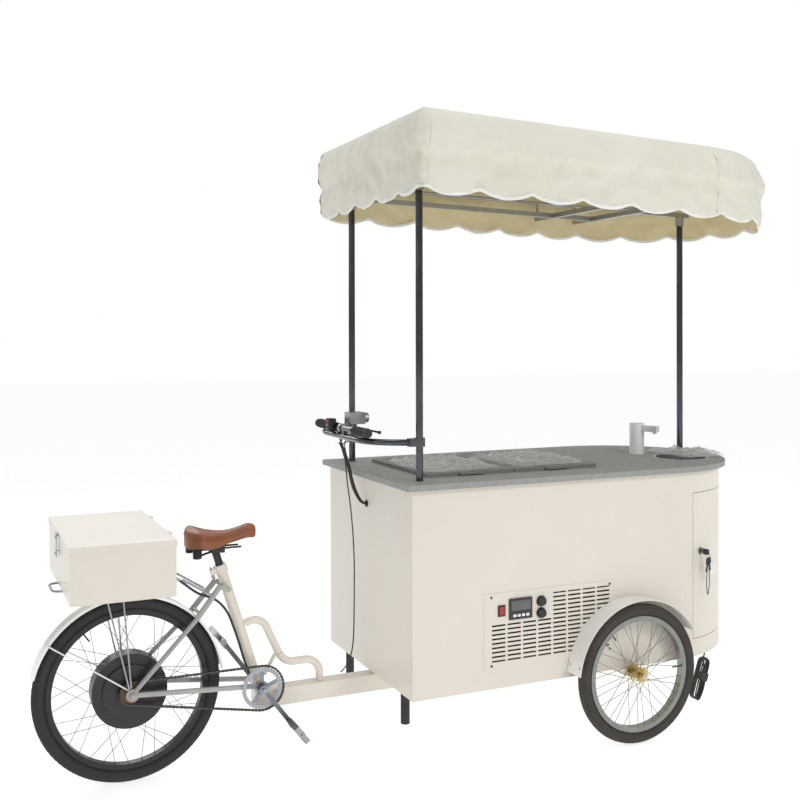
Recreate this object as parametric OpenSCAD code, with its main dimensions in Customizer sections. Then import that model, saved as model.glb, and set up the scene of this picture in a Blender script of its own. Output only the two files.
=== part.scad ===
// Front-load pedal vending tricycle: freezer cabinet on two front wheels, steered
// against a bicycle rear half with a hub motor. Millimetres, Z up, +X forward.
// Everything is laid out from the cabinet's rear face and then moved so that the
// origin is the middle of the machine's footprint.

/* [Cabinet] */
// Width across the cabinet's side walls
cab_w = 784; // [740:2:840]
// Length of the straight side walls, before the round front
cab_l = 1130; // [1060:5:1240]
// Height of the cabinet's underside above the ground
cab_z = 260; // [255:1:275]
// Height of the cabinet's walls
cab_h = 710; // [660:5:780]
// Thickness of the painted sheet steel
skin_t = 1.5; // [1:0.1:2]
// Distance of the bulkhead behind the round front
bulkhead_back = 36; // [20:1:60]

/* [Countertop] */
// Thickness of the countertop
counter_t = 20; // [16:1:30]
// Overhang of the countertop past the walls
counter_over = 25; // [10:1:35]

/* [Freezer] */
// Length of one freezer lid
lid_l = 356; // [320:2:380]
// Width of a freezer lid, from hinge to handle edge
lid_w = 500; // [440:2:540]
// Thickness of a freezer lid
lid_t = 12; // [8:1:20]
// Depth of the freezer tub below the counter's underside
tub_d = 330; // [250:5:380]
// Distance of the first lid from the cabinet's rear face
lid_x = 122; // [110:1:130]

/* [Sink] */
// Inside diameter of the sink bowl
bowl_d = 200; // [160:2:210]
// Depth of the sink bowl
bowl_h = 130; // [90:5:150]
// Diameter of the water dispenser's body
tap_d = 62; // [50:1:70]
// Height of the water dispenser
tap_h = 128; // [100:1:160]
// Reach of the spout from the dispenser's axis
spout_l = 98; // [80:1:120]

/* [Posts and canopy] */
// Diameter of the chromed posts
post_d = 25.4; // [22:0.2:32]
// Distance of the rear posts from the rear face
post_x = 64; // [55:1:75]
// Distance between the rear posts
post_gap = 631; // [560:1:660]
// Distance of the front post from the rear face
front_post_x = 1440; // [1420:1:1450]
// Width of the canopy
canopy_w = 960; // [900:5:1040]
// Length of the canopy's straight sides, before its round front
canopy_l = 1220; // [1180:5:1300]
// Height of the canopy's lowest hem at the rear
hem_z = 1958; // [1900:2:2100]
// Height of the fabric wall below the fold
valance_h = 160; // [140:2:190]
// Height from the hem to the canopy's top
canopy_h = 286; // [260:2:320]
// How much the top is narrower than the fold at the front
fold_in = 55; // [30:5:120]
// Nose-down slope of the canopy in degrees
canopy_tilt = 1.6; // [0:0.1:3]
// Thickness of the canopy fabric
cloth_t = 3; // [2:0.5:5]

/* [Front wheels] */
// Radius of a front wheel over its tyre
fw_r = 254; // [240:1:270]
// Width of a front tyre
fw_tyre = 47; // [40:1:50]
// Distance of the front axle from the rear face
fw_x = 884; // [840:1:920]
// Gap between the cabinet wall and the middle of a front wheel
fw_gap = 51; // [48:1:58]
// Radius of the front axle's ends
fw_axle_r = 5; // [4:0.5:7]

/* [Rear wheel] */
// Radius of the rear wheel over its tyre
rw_r = 310; // [300:1:330]
// Width of the rear tyre
rw_tyre = 48; // [40:1:50]
// Distance of the rear axle behind the cabinet
rw_back = 869; // [850:1:900]
// Diameter of the hub motor
motor_d = 248; // [180:2:260]
// Radius of the rear axle
rw_axle_r = 7; // [5:0.5:8]

/* [Drive] */
// Teeth on the chainring
ring_teeth = 38; // [36:1:42]
// Teeth on the freewheel sprocket
cog_teeth = 18; // [16:1:20]
// Pitch of the chain
chain_pitch = 12.7; // [12.7:0.1:12.7]
// Length of a crank arm
crank_l = 170; // [150:1:175]
// Direction of the right crank arm in degrees, below the horizontal
crank_a = 53; // [40:1:60]
// Tilt of the pedals' faces in degrees, nose down
pedal_a = 53; // [0:1:60]
// Distance of the crank axle behind the cabinet
crank_back = 422; // [415:1:430]
// Height of the crank axle
crank_z = 266; // [262:1:272]

/* [Rear frame] */
// Side of the square main beam
beam_s = 60; // [50:1:64]
// Distance of the steering pin in front of the rear face
pin_x = 350; // [345:1:380]
// Radius of the steering pin
pin_r = 15; // [12:0.5:18]
// Outside diameter of the seat tube
seat_tube_d = 38; // [34:1:42]
// Length of the seat tube
seat_tube_l = 451; // [430:1:460]
// Angle of the seat tube from the vertical in degrees
seat_a = 17.4; // [16:0.1:19]
// Diameter of the seat post
seat_post_d = 27.2; // [25:0.1:30]
// Diameter of the curved frame tube
loop_d = 28; // [22:1:32]

/* [Rear box] */
// Length of the rear box
box_l = 320; // [280:5:330]
// Width of the rear box
box_w = 600; // [500:5:640]
// Height of the rear box with its lid
box_h = 174; // [150:1:220]
// Height of the box's underside
box_z = 681; // [670:1:690]

/* [Fits] */
// Radial clearance of a turning or sliding fit
fit = 0.05; // [0.02:0.01:0.1]
// Gap between parts that don't touch
gap = 0.5; // [0.3:0.1:1]

/* [Hidden] */

$fn = 48;
eps = 0.01;
cream = [0.90, 0.86, 0.80];
black = [0.08, 0.08, 0.09];
silver = [0.72, 0.73, 0.75];
grey = [0.50, 0.51, 0.49];

// Levels and outlines shared by several parts
half_w = cab_w / 2;
cab_top = cab_z + cab_h;
counter_z = cab_top + counter_t;
tilt_c = cos(canopy_tilt);
tilt_s = sin(canopy_tilt);
rear_fender_r = rw_r + 9;
rear_fender_end = 166;
back_x = min(-rw_back - rw_r, -rw_back + rear_fender_r * cos(rear_fender_end));
nose_x = (canopy_l + canopy_w / 2) * tilt_c + valance_h * tilt_s;
mid_x = (nose_x + back_x) / 2;

// Moves a part laid out from the rear face into the machine's own frame
module placed() {
    translate([-mid_x, 0, 0]) children();
}

// Flat outline with straight sides and a half-round front; grow widens it all round
module d_shape(len, w, grow = 0) {
    translate([-grow, -w / 2 - grow]) square([len + grow, w + 2 * grow]);
    translate([len, 0]) circle(r = w / 2 + grow, $fn = 96);
}

// Straight round bar between two points
module rod(a, b, r) {
    d = b - a;
    translate(a) rotate([0, acos(d[2] / norm(d)), atan2(d[1], d[0])])
        cylinder(h = norm(d), r = r);
}

// Bent round bar in the XZ plane, angles from +X towards +Z
module bend_xz(x, z, r_bend, a0, a1, r) {
    translate([x, 0, z]) rotate([90, 0, 0]) rotate([0, 0, a0])
        rotate_extrude(angle = a1 - a0) translate([r_bend, 0]) circle(r = r);
}

// Round bar along Y, centred at x, z
module y_bar(x, z, y0, y1, r) {
    translate([x, y0, z]) rotate([-90, 0, 0]) cylinder(h = y1 - y0, r = r);
}

// Wedge of a cylinder around Z, for cutting sectors
module sector(a0, a1, r, h) {
    mid = (a0 + a1) / 2;
    linear_extrude(h) polygon([[0, 0], [r * cos(a0), r * sin(a0)],
        [r * cos(mid) * 1.4, r * sin(mid) * 1.4], [r * cos(a1), r * sin(a1)]]);
}

// ---------------------------------------------------------------- cabinet

door_a0 = -82;
door_a1 = 0;
door_z0 = cab_z + 67;
door_z1 = cab_z + 627;
door_t = 16;
door_gap = 2;
grille_x0 = 272;
grille_w = 555;
grille_z0 = 327;
grille_h = 266;
grille_edge = 20;
panel_t = 1.5;
hinge_r = half_w + 9;
pin_small_r = 3;
knuckle_r = 6.5;
grommet_z = 870;
hinge_zs = [door_z0 + 60, door_z1 - 100];
lock_a = -75.5;
lock_z = 660;
barrel_r = 9;
key_r = 4.5;

module cabinet_skin() {
    color(cream) placed() {
        difference() {
            translate([0, 0, cab_z]) linear_extrude(cab_h) d_shape(cab_l, cab_w);
            translate([skin_t, 0, cab_z - 1]) linear_extrude(cab_h + 2)
                d_shape(cab_l - skin_t, cab_w - 2 * skin_t);
            translate([cab_l, 0, door_z0]) sector(door_a0, door_a1, half_w * 1.2,
                door_z1 - door_z0);
            translate([grille_x0 + grille_edge, -half_w - 1, grille_z0 + grille_edge])
                cube([grille_w - 2 * grille_edge, skin_t + 2, grille_h - 2 * grille_edge]);
            translate([-1, 8, grommet_z]) rotate([0, 90, 0]) cylinder(h = skin_t + 2, r = 10);
        }
        for (z = hinge_zs) {
            translate([cab_l + half_w - 1, 0.5, z]) cube([3, 12, 40]);
            translate([cab_l + hinge_r, 0, z]) cylinder(h = 40, r = pin_small_r);
            for (dz = [0, 32]) translate([cab_l + hinge_r, 0, z + dz]) difference() {
                union() {
                    cylinder(h = 8, r = knuckle_r);
                    translate([-7, 0, 0]) cube([7, 12, 8]);
                }
                translate([0, 0, -1]) cylinder(h = 10, r = pin_small_r - eps);
            }
        }
    }
}

// Door pan: a bent skin with its edges folded inwards
module cabinet_door() {
    a0 = door_a0 + 0.3;
    a1 = door_a1 - 1.2;
    h = door_z1 - door_z0 - 2 * door_gap;
    color(cream) placed() {
        difference() {
            translate([cab_l, 0, door_z0 + door_gap]) intersection() {
                difference() {
                    cylinder(h = h, r = half_w, $fn = 96);
                    translate([0, 0, -1]) cylinder(h = h + 2, r = half_w - door_t, $fn = 96);
                }
                sector(a0, a1, half_w * 1.2, h);
            }
            translate([cab_l, 0, door_z0 + door_gap + skin_t]) intersection() {
                cylinder(h = h - 2 * skin_t, r = half_w - skin_t, $fn = 96);
                sector(a0 + 0.3, a1 - 0.3, half_w * 1.2, h - 2 * skin_t);
            }
            translate([cab_l, 0, lock_z]) rotate([0, 0, lock_a]) translate([half_w, 0, 0])
                rotate([0, 90, 0]) translate([0, 0, -door_t - 10])
                    cylinder(h = door_t + 20, r = barrel_r + 0.2);
        }
        for (z = hinge_zs) difference() {
            union() {
                translate([cab_l + hinge_r, 0, z + 8.5]) cylinder(h = 23, r = knuckle_r);
                translate([cab_l + half_w - 0.5, -16, z + 8.5]) cube([3, 14, 23]);
                translate([cab_l + hinge_r - 7.5, -6, z + 8.5]) cube([7, 4, 23]);
            }
            translate([cab_l + hinge_r, 0, z]) cylinder(h = 40, r = pin_small_r + fit);
        }
    }
}

module at_lock() {
    placed() translate([cab_l, 0, lock_z]) rotate([0, 0, lock_a])
        translate([half_w, 0, 0]) rotate([0, 90, 0]) children();
}

module door_lock() {
    color(silver) at_lock() difference() {
        union() {
            translate([0, 0, 0.6]) cylinder(h = 3, r = 13);
            translate([0, 0, -24]) cylinder(h = 25, r = barrel_r);
        }
        translate([0, 0, -20]) cylinder(h = 30, r = key_r + fit);
    }
}

module door_key() {
    color(black) at_lock() {
        translate([0, 0, -19]) cylinder(h = 23, r = key_r);
        translate([-1, -1.2, 3.9]) cube([2, 2.4, 10]);
        translate([-11, -1.5, 13]) cube([22, 3, 26]);
    }
}

beam_top = cab_z - 15;
plate_z = beam_top + 6.4;
bush_top = cab_z + 35;
axle_end = half_w + fw_gap + 57;
leg_x = 32;
leg_y = 262;
leg_r = 16;
leg_z = 142;
leg_h = 300;

module underframe() {
    color(cream) placed() {
        // Floor pan, steering bush and axle beam in one welding
        difference() {
            union() {
                translate([skin_t + gap, 0, cab_z]) linear_extrude(2)
                    d_shape(cab_l - skin_t - gap, cab_w - 2 * skin_t - 2 * gap);
                for (y = [-1, 1]) translate([20, y * 200 - 20, cab_z + 1])
                    cube([cab_l - bulkhead_back - 40, 40, 30]);
                for (x = [pin_x - 45, fw_x - 20])
                    translate([x, -half_w + 30, cab_z + 1]) cube([90, cab_w - 60, 30]);
                translate([pin_x - 90, -90, plate_z]) cube([180, 180, cab_z - plate_z + 1]);
                translate([pin_x, 0, plate_z]) cylinder(h = bush_top - plate_z, r = pin_r + 10);
                translate([fw_x - 15, -half_w + 6, cab_z - 30]) cube([30, cab_w - 12, 31]);
                y_bar(fw_x, fw_r, -axle_end, axle_end, fw_axle_r);
                for (s = [-1, 1]) translate([leg_x, s * leg_y, cab_z + 1])
                    cylinder(h = 70, r = leg_r + 4);
                translate([190, -120, cab_z - 10]) cylinder(h = 11, r = 11);
            }
            translate([pin_x, 0, plate_z - 1]) cylinder(h = 100, r = pin_r + fit);
            for (s = [-1, 1]) translate([leg_x, s * leg_y, cab_z - 5])
                cylinder(h = 120, r = leg_r + fit);
        }
        for (s = [-1, 1]) translate([fw_x, s * (half_w + fw_gap + 40), fw_r])
            rotate([-90 * s, 0, 0]) difference() {
                cylinder(h = 9, r = 9, $fn = 6);
                translate([0, 0, -1]) cylinder(h = 11, r = fw_axle_r + eps);
            }
        // Bulkhead between the freezer and the water locker
        translate([cab_l - bulkhead_back, -half_w + skin_t + gap, cab_z + 2 + gap])
            cube([1.5, cab_w - 2 * skin_t - 2 * gap, cab_h - 2 - 2 * gap]);
    }
}

module stand_leg(s) {
    color(black) placed() translate([leg_x, s * leg_y, leg_z]) {
        cylinder(h = leg_h, r = leg_r);
    }
}
module stand_leg_left() { stand_leg(1); }
module stand_leg_right() { stand_leg(-1); }

// ---------------------------------------------------------------- counter

lid_gap = 4;
hole_x = lid_x + 12;
hole_w = lid_w - 44;
hole_l = 2 * lid_l + lid_gap - 24;
hinge_y = lid_w / 2 + 10;
lid_hinge_z = counter_z + 8;
sink_x = 1330;
sink_y = -140;
tap_x = 1250;
tap_y = 45;

// Places one copy of its children at each of a lid's two hinges
module lid_hinges(x0) {
    for (x = [x0 + 50, x0 + lid_l - 90]) translate([x, hinge_y, lid_hinge_z]) children();
}

module countertop() {
    color(grey) placed() {
        difference() {
            translate([0, 0, cab_top]) linear_extrude(counter_t)
                d_shape(cab_l, cab_w, counter_over);
            translate([hole_x, -hole_w / 2, cab_top - 1]) cube([hole_l, hole_w, counter_t + 2]);
            translate([sink_x, sink_y, cab_top - 1])
                cylinder(h = counter_t + 2, r = bowl_d / 2 + 3);
            for (s = [-1, 1]) translate([post_x, s * post_gap / 2, cab_top - 1])
                cylinder(h = counter_t + 2, r = post_d / 2 + gap);
            translate([front_post_x, 0, cab_top - 1])
                cylinder(h = counter_t + 2, r = post_d / 2 + gap);
            translate([tap_x, tap_y, cab_top - 1]) cylinder(h = counter_t + 2, r = 12);
        }
        for (x0 = [lid_x, lid_x + lid_l + lid_gap]) lid_hinges(x0) {
            rotate([0, 90, 0]) cylinder(h = 40, r = 2.5);
            for (dx = [0, 32]) translate([dx, 0, 0]) difference() {
                union() {
                    rotate([0, 90, 0]) cylinder(h = 8, r = 5);
                    translate([0, -4, -8]) cube([8, 8, 8]);
                }
                translate([-1, 0, 0]) rotate([0, 90, 0]) cylinder(h = 10, r = 2.5 - eps);
            }
        }
    }
}

module freezer_lid(x0) {
    color([0.62, 0.63, 0.62]) placed() {
        difference() {
            union() {
                translate([x0, -lid_w / 2, counter_z + gap]) cube([lid_l, lid_w, lid_t]);
                translate([x0 + 18, -hole_w / 2 + 6, counter_z - 22])
                    cube([lid_l - 36, hole_w - 12, 23]);
                lid_hinges(x0) translate([8.5, 0, 0]) {
                    rotate([0, 90, 0]) cylinder(h = 23, r = 5);
                    translate([0, -12, -5]) cube([23, 12, 8]);
                }
                translate([x0 + lid_l / 2 - 50, -lid_w / 2 - 14, counter_z + 4])
                    cube([100, 15, 6]);
            }
            lid_hinges(x0) rotate([0, 90, 0]) cylinder(h = 40, r = 2.5 + fit);
            lid_hinges(x0) for (dx = [-1.5, 31.5]) translate([dx, -6, -9]) cube([10, 12, 18]);
        }
    }
}
module lid_rear() { freezer_lid(lid_x); }
module lid_front() { freezer_lid(lid_x + lid_l + lid_gap); }

module freezer_tub() {
    z0 = cab_top - tub_d;
    color(silver) placed() difference() {
        union() {
            translate([hole_x - 2, -hole_w / 2 - 2, z0]) cube([hole_l + 4, hole_w + 4, tub_d]);
            translate([hole_x - 14, -hole_w / 2 - 14, cab_top - 2])
                cube([hole_l + 28, hole_w + 28, 2]);
        }
        translate([hole_x, -hole_w / 2, z0 + 2]) cube([hole_l, hole_w, tub_d]);
    }
}

module cooling_unit() {
    z0 = cab_z + 32;
    color(black) placed() {
        translate([420, -175, z0]) cube([400, 330, 4]);
        translate([680, 40, z0 + 4]) cylinder(h = 120, r = 78);
        translate([680, 40, z0 + 124]) sphere(r = 60);
        translate([470, -172, z0 + 4.5]) cube([300, 40, 250]);
        translate([560, -90, z0 + 130]) rotate([90, 0, 0]) cylinder(h = 38, r = 100);
        translate([440, -20, z0 + 4.5]) cube([90, 160, 70]);
    }
}

module water_tanks() {
    z0 = cab_z + 3;
    color([0.85, 0.88, 0.9]) placed() {
        for (y = [70, -235]) {
            translate([cab_l - 25, y, z0]) cube([160, 250, 320]);
            translate([cab_l + 40, y + 125, z0 + 320]) cylinder(h = 22, r = 26);
        }
        rod([cab_l + 100, -140, z0 + 321], [sink_x, sink_y, counter_z - bowl_h - 50], 12);
        rod([cab_l + 100, 140, z0 + 321], [tap_x, tap_y, cab_top - 30], 7);
    }
}

module sink_bowl() {
    r = bowl_d / 2;
    color(silver) placed() translate([sink_x, sink_y, 0]) difference() {
        union() {
            translate([0, 0, counter_z + eps]) cylinder(h = 1.5, r = r + 14);
            translate([0, 0, counter_z - bowl_h]) cylinder(h = bowl_h + 1, r = r + 1.5);
            translate([0, 0, counter_z - bowl_h - 35]) cylinder(h = 36, r = 18);
        }
        translate([0, 0, counter_z - bowl_h + 1.5]) cylinder(h = bowl_h + 5, r = r);
        translate([0, 0, counter_z - bowl_h - 36]) cylinder(h = 60, r = 15);
    }
}

module water_dispenser() {
    aim = atan2(sink_y - tap_y, sink_x - tap_x);
    color("white") placed() translate([tap_x, tap_y, 0]) {
        translate([0, 0, counter_z + eps]) cylinder(h = tap_h, r = tap_d / 2);
        translate([0, 0, cab_top - 28]) cylinder(h = 29 + counter_t, r = 10);
        rotate([0, 0, aim]) translate([0, -14, counter_z + tap_h - 32])
            cube([spout_l, 28, 24]);
        rotate([0, 0, aim]) translate([spout_l - 14, 0, counter_z + tap_h - 40])
            cylinder(h = 12, r = 9);
    }
}

// ---------------------------------------------------------------- control panel

slot_cols = 8;
slot_pitch_x = 62.5;
slot_pitch_z = 15.4;
slot_w = 54;
slot_h = 6;
slot_x0 = grille_x0 + 32;
slot_z0 = grille_z0 + 26;
rocker_x = 342;
rocker_z = 530;
rocker_w = 21;
rocker_h = 31;
panel_y = -half_w - panel_t - 0.1;
thermostat_x = 372;
thermostat_z = 495;
thermostat_w = 92;
thermostat_h = 73;
socket_x = 503;
socket_zs = [506, 548];

module grille_panel() {
    color(cream) placed() difference() {
        translate([grille_x0, panel_y, grille_z0]) cube([grille_w, panel_t, grille_h]);
        for (i = [0:slot_cols - 1]) for (j = [0:(i < 4 ? 8 : 14)])
            translate([slot_x0 + i * slot_pitch_x, panel_y - 1, slot_z0 + j * slot_pitch_z])
                cube([slot_w, panel_t + 2, slot_h]);
        translate([thermostat_x + 4, panel_y - 1, thermostat_z + 4])
            cube([thermostat_w - 8, panel_t + 2, thermostat_h - 8]);
        translate([rocker_x - rocker_w / 2 - 2, panel_y - 1, rocker_z - rocker_h / 2 - 2])
            cube([rocker_w + 4, panel_t + 2, rocker_h + 4]);
        for (z = socket_zs) translate([socket_x, panel_y - 1, z]) rotate([-90, 0, 0])
            cylinder(h = panel_t + 2, r = 14);
    }
}

module panel_fittings() {
    color(black) placed() {
        // Thermostat: bezel outside, body behind the panel
        translate([thermostat_x, panel_y - 6.1, thermostat_z])
            cube([thermostat_w, 6, thermostat_h]);
        translate([thermostat_x + 5, panel_y - 1, thermostat_z + 5])
            cube([thermostat_w - 10, 50, thermostat_h - 10]);
        // Rocker switch frame
        difference() {
            translate([rocker_x - rocker_w / 2 - 4, panel_y - 3.1, rocker_z - rocker_h / 2 - 4])
                cube([rocker_w + 8, 3, rocker_h + 8]);
            translate([rocker_x - rocker_w / 2, panel_y - 5, rocker_z - rocker_h / 2])
                cube([rocker_w, 9, rocker_h]);
        }
        // Capped power sockets
        for (z = socket_zs) translate([socket_x, panel_y - 0.1, z]) rotate([90, 0, 0]) {
            cylinder(h = 3, r = 19);
            cylinder(h = 12, r = 16);
            translate([0, 0, -30]) cylinder(h = 31, r = 13.5);
        }
        // Panel screws
        for (x = [30, grille_w - 30]) for (z = [14, grille_h - 14])
            translate([grille_x0 + x, panel_y - 0.1, grille_z0 + z]) rotate([90, 0, 0])
                cylinder(h = 2, r = 4);
    }
}

module rocker_switch() {
    color("red") placed() translate([rocker_x, panel_y, rocker_z]) {
        rotate([90, 0, 0]) translate([-rocker_w / 2 + 0.6, -rocker_h / 2 + 1.4, -1])
            cube([rocker_w - 1.2, rocker_h - 2.8, 6]);
        translate([-rocker_w / 2 + 0.2, 0, 0]) rotate([0, 90, 0])
            cylinder(h = rocker_w - 0.4, r = 1.5);
    }
}

// ---------------------------------------------------------------- posts, canopy

rail_z = 82;
rail_s = 20;
rail_x1 = 1200;
hoop_in = 18;
hoop_r = 8;
first_bar_x = 36;
middle_bar_x = 1000;
weld_gap = 0.15;

// Moves parts of the canopy to its tilted place above the cabinet
module at_canopy() {
    placed() translate([0, 0, hem_z]) rotate([0, canopy_tilt, 0]) children();
}

// Height of the rails' underside above a point of the cabinet
function rail_under(x) = hem_z + (rail_z - rail_s / 2) / tilt_c - x * tilt_s / tilt_c;

module posts() {
    color(silver) placed() {
        for (s = [-1, 1]) translate([post_x, s * post_gap / 2, cab_top - 120])
            cylinder(h = rail_under(post_x) - cab_top + 119, r = post_d / 2);
        translate([front_post_x, 0, cab_top - 60])
            cylinder(h = rail_under(front_post_x) - cab_top + 59, r = post_d / 2);
    }
}

// Half bars across the canopy, one on each side of what runs along its middle
module side_bars(x, z, y0, y1, r) {
    for (s = [-1, 1]) translate([x, s * y0, z]) rotate([-90 * s, 0, 0])
        cylinder(h = y1 - y0, r = r);
}

// Tubes of the canopy's frame, each a piece of its own up to its welds
module canopy_frame() {
    top_z = canopy_h - cloth_t - hoop_r - 3;
    fold_z = valance_h - 6;
    hoop_w = canopy_w - 2 * (cloth_t + hoop_in);
    rail_top = rail_z + rail_s / 2 + weld_gap;
    ridge_r = hoop_r - 2;
    color(silver) at_canopy() {
        for (s = [-1, 1]) {
            translate([20, s * post_gap / 2 - rail_s / 2, rail_z - rail_s / 2])
                cube([rail_x1 - 20 - weld_gap, rail_s, rail_s]);
            translate([first_bar_x, s * post_gap / 2, rail_top])
                cylinder(h = top_z - hoop_r - weld_gap - rail_top, r = hoop_r);
            for (x = [post_x, middle_bar_x + rail_s / 2, rail_x1 + rail_s / 2])
                translate([x, s * (hoop_w / 2 - 7), rail_top])
                    cylinder(h = fold_z - hoop_r - weld_gap - rail_top, r = 5);
            // Straight side of the hoop that the fabric folds over
            translate([20 + hoop_r, s * hoop_w / 2, fold_z]) rotate([0, 90, 0])
                cylinder(h = canopy_l - 20 - hoop_r - weld_gap, r = hoop_r);
        }
        for (x = [post_x - rail_s / 2, middle_bar_x]) {
            translate([x, weld_gap - post_gap / 2 + rail_s / 2, rail_z - rail_s / 2])
                cube([rail_s, post_gap - rail_s - 2 * weld_gap, rail_s]);
            for (s = [0, 1]) mirror([0, s, 0])
                translate([x, post_gap / 2 + rail_s / 2 + weld_gap, rail_z - rail_s / 2])
                    cube([rail_s, hoop_w / 2 - post_gap / 2 - rail_s / 2, rail_s]);
        }
        translate([rail_x1, -hoop_w / 2, rail_z - rail_s / 2]) cube([rail_s, hoop_w, rail_s]);
        translate([rail_x1 + rail_s + weld_gap, -rail_s / 2, rail_z - rail_s / 2])
            cube([front_post_x + 20 - rail_x1, rail_s, rail_s]);
        y_bar(20, fold_z, -hoop_w / 2 - hoop_r, hoop_w / 2 + hoop_r, hoop_r - 1);
        // Round front of the hoop, welded up from arcs
        translate([canopy_l, 0, fold_z]) for (a = [-90:30:60]) rotate([0, 0, a + 0.05])
            rotate_extrude(angle = 29.9, $fn = 96) translate([hoop_w / 2, 0]) circle(r = hoop_r);
        // Bars and the ridge that lift the top
        for (x = [first_bar_x, 420, 820, 1180])
            side_bars(x, top_z, ridge_r + weld_gap, top_half(x) - 12, hoop_r);
        translate([25, 0, top_z]) rotate([0, 90, 0]) cylinder(h = 1385, r = ridge_r);
        translate([1400, 0, rail_top])
            cylinder(h = top_z - ridge_r - weld_gap - rail_top, r = hoop_r - 3);
    }
    // Collars on the posts' ends
    color(grey) placed() for (p = [[post_x, post_gap / 2], [post_x, -post_gap / 2],
        [front_post_x, 0]]) translate([p[0], p[1], rail_under(p[0]) - 36]) difference() {
            cylinder(h = 35.2, r = post_d / 2 + 5);
            translate([0, 0, -1]) cylinder(h = 38, r = post_d / 2 + fit);
        }
}

// Half the width of the canopy's flat top at a distance from its rear
function top_half(x) = canopy_w / 2 - 8 - (fold_in - 8) * x / canopy_l;

module canopy_shape(grow, lift) {
    straight = canopy_l;
    union() {
        linear_extrude(valance_h + lift) d_shape(straight, canopy_w, grow);
        hull() {
            translate([0, 0, valance_h + lift - 0.2]) linear_extrude(0.2)
                d_shape(straight, canopy_w, grow);
            translate([0, 0, canopy_h - 3 + grow]) linear_extrude(3) {
                polygon([[-grow, -top_half(0) - grow], [-grow, top_half(0) + grow],
                    [straight, top_half(straight) + grow],
                    [straight, -top_half(straight) - grow]]);
                translate([straight, 0]) circle(r = top_half(straight) + grow, $fn = 64);
            }
        }
    }
}

module canopy_cover() {
    color([0.95, 0.94, 0.88]) at_canopy() difference() {
        canopy_shape(0, 0);
        translate([0, 0, -1]) canopy_shape(-cloth_t, 0);
    }
}

// ---------------------------------------------------------------- handlebar

bar_x = -100;
bar_z = 1154;
bar_r = 11;
bar_half = 245;
arm_z = 1124;
grip_from = 125;
grip_r = 16;
lever_y = 112;
lever_x = bar_x + 50;
pod_y0 = 66;
pod_y1 = 104;
pod_z0 = -17;
pod_h = 46;
button_zs = [21, 6, -9];
button_r = 5;

module handlebar() {
    arm_r = post_x - bar_x;
    arm_y = post_gap / 2 - arm_r;
    color(silver) placed() {
        y_bar(bar_x, bar_z, -bar_half, bar_half, bar_r);
        y_bar(bar_x, arm_z, -arm_y, arm_y, bar_r);
        for (y = [-30, 30]) translate([bar_x - 9, y - 8, arm_z]) cube([18, 16, bar_z - arm_z]);
        for (s = [-1, 1]) {
            // Arm that bends forward to the post
            translate([post_x, s * arm_y, arm_z]) rotate([0, 0, s > 0 ? 96 : 180])
                rotate_extrude(angle = 84) translate([arm_r, 0]) circle(r = bar_r);
            // Post clamp
            difference() {
                union() {
                    translate([post_x, s * post_gap / 2, arm_z - 15])
                        cylinder(h = 30, r = post_d / 2 + 7);
                    translate([post_x - 42, s * post_gap / 2 - 13, arm_z - 14])
                        cube([32, 26, 28]);
                }
                translate([post_x, s * post_gap / 2, arm_z - 20])
                    cylinder(h = 40, r = post_d / 2 + fit);
            }
            // Brake lever perch
            difference() {
                union() {
                    y_bar(bar_x, bar_z, s * lever_y - 8, s * lever_y + 8, bar_r + 4);
                    translate([bar_x, s * lever_y - 8, bar_z - 5]) cube([lever_x - bar_x + 8, 16, 10]);
                }
                translate([lever_x - 10, s * lever_y - 9, bar_z - 3.1]) cube([30, 18, 6.2]);
            }
            translate([lever_x, s * lever_y, bar_z - 5]) cylinder(h = 10, r = 2.5);
        }
    }
}

module brake_lever(s) {
    color(black) placed() difference() {
        union() {
            translate([lever_x, s * lever_y, bar_z - 3]) cylinder(h = 6, r = 6);
            translate([lever_x, s * lever_y + (s > 0 ? 0 : -112), bar_z - 3])
                cube([6, 112, 6]);
            translate([lever_x + 3, s * (lever_y + 112), bar_z - 5]) cylinder(h = 10, r = 6);
        }
        translate([lever_x, s * lever_y, bar_z - 10]) cylinder(h = 20, r = 2.5 + fit);
    }
}
module brake_lever_left() { brake_lever(1); }
module brake_lever_right() { brake_lever(-1); }

module left_grip() {
    color(black) placed() {
        difference() {
            union() {
                y_bar(bar_x, bar_z, grip_from, bar_half + 4, grip_r);
                y_bar(bar_x, bar_z, pod_y0, pod_y1 - 1.5, grip_r + 1);
                translate([bar_x - 26, pod_y0, bar_z + pod_z0])
                    cube([28, pod_y1 - pod_y0 - 1.5, pod_h]);
            }
            y_bar(bar_x, bar_z, 0, bar_half, bar_r + fit);
            for (z = button_zs) translate([bar_x - 27, (pod_y0 + pod_y1) / 2, bar_z + z])
                rotate([0, 90, 0]) cylinder(h = 7, r = button_r + 2 * fit);
        }
    }
}

module pod_button(z) {
    placed() translate([bar_x - 29, (pod_y0 + pod_y1) / 2, bar_z + z]) rotate([0, 90, 0])
        cylinder(h = 6, r = button_r);
}
module button_red() { color("red") pod_button(button_zs[0]); }
module button_orange() { color("orange") pod_button(button_zs[1]); }
module button_green() { color("green") pod_button(button_zs[2]); }

module throttle_grip() {
    color(black) placed() difference() {
        y_bar(bar_x, bar_z, -bar_half - 4, -grip_from, grip_r);
        y_bar(bar_x, bar_z, -bar_half, 0, bar_r + fit);
    }
}

module headlamp() {
    color(silver) placed() {
        translate([bar_x + 22, -32, bar_z + 14]) cube([58, 64, 42]);
        translate([bar_x + 80, 0, bar_z + 35]) rotate([0, 90, 0]) cylinder(h = 20, r = 18);
        translate([bar_x + 12, -7, bar_z + 12]) cube([34, 14, 8]);
        difference() {
            y_bar(bar_x, bar_z, -7, 7, bar_r + 5);
            y_bar(bar_x, bar_z, -8, 8, bar_r + fit);
            translate([bar_x - 8, -8, bar_z - 30]) cube([16, 16, 30]);
        }
    }
}

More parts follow.
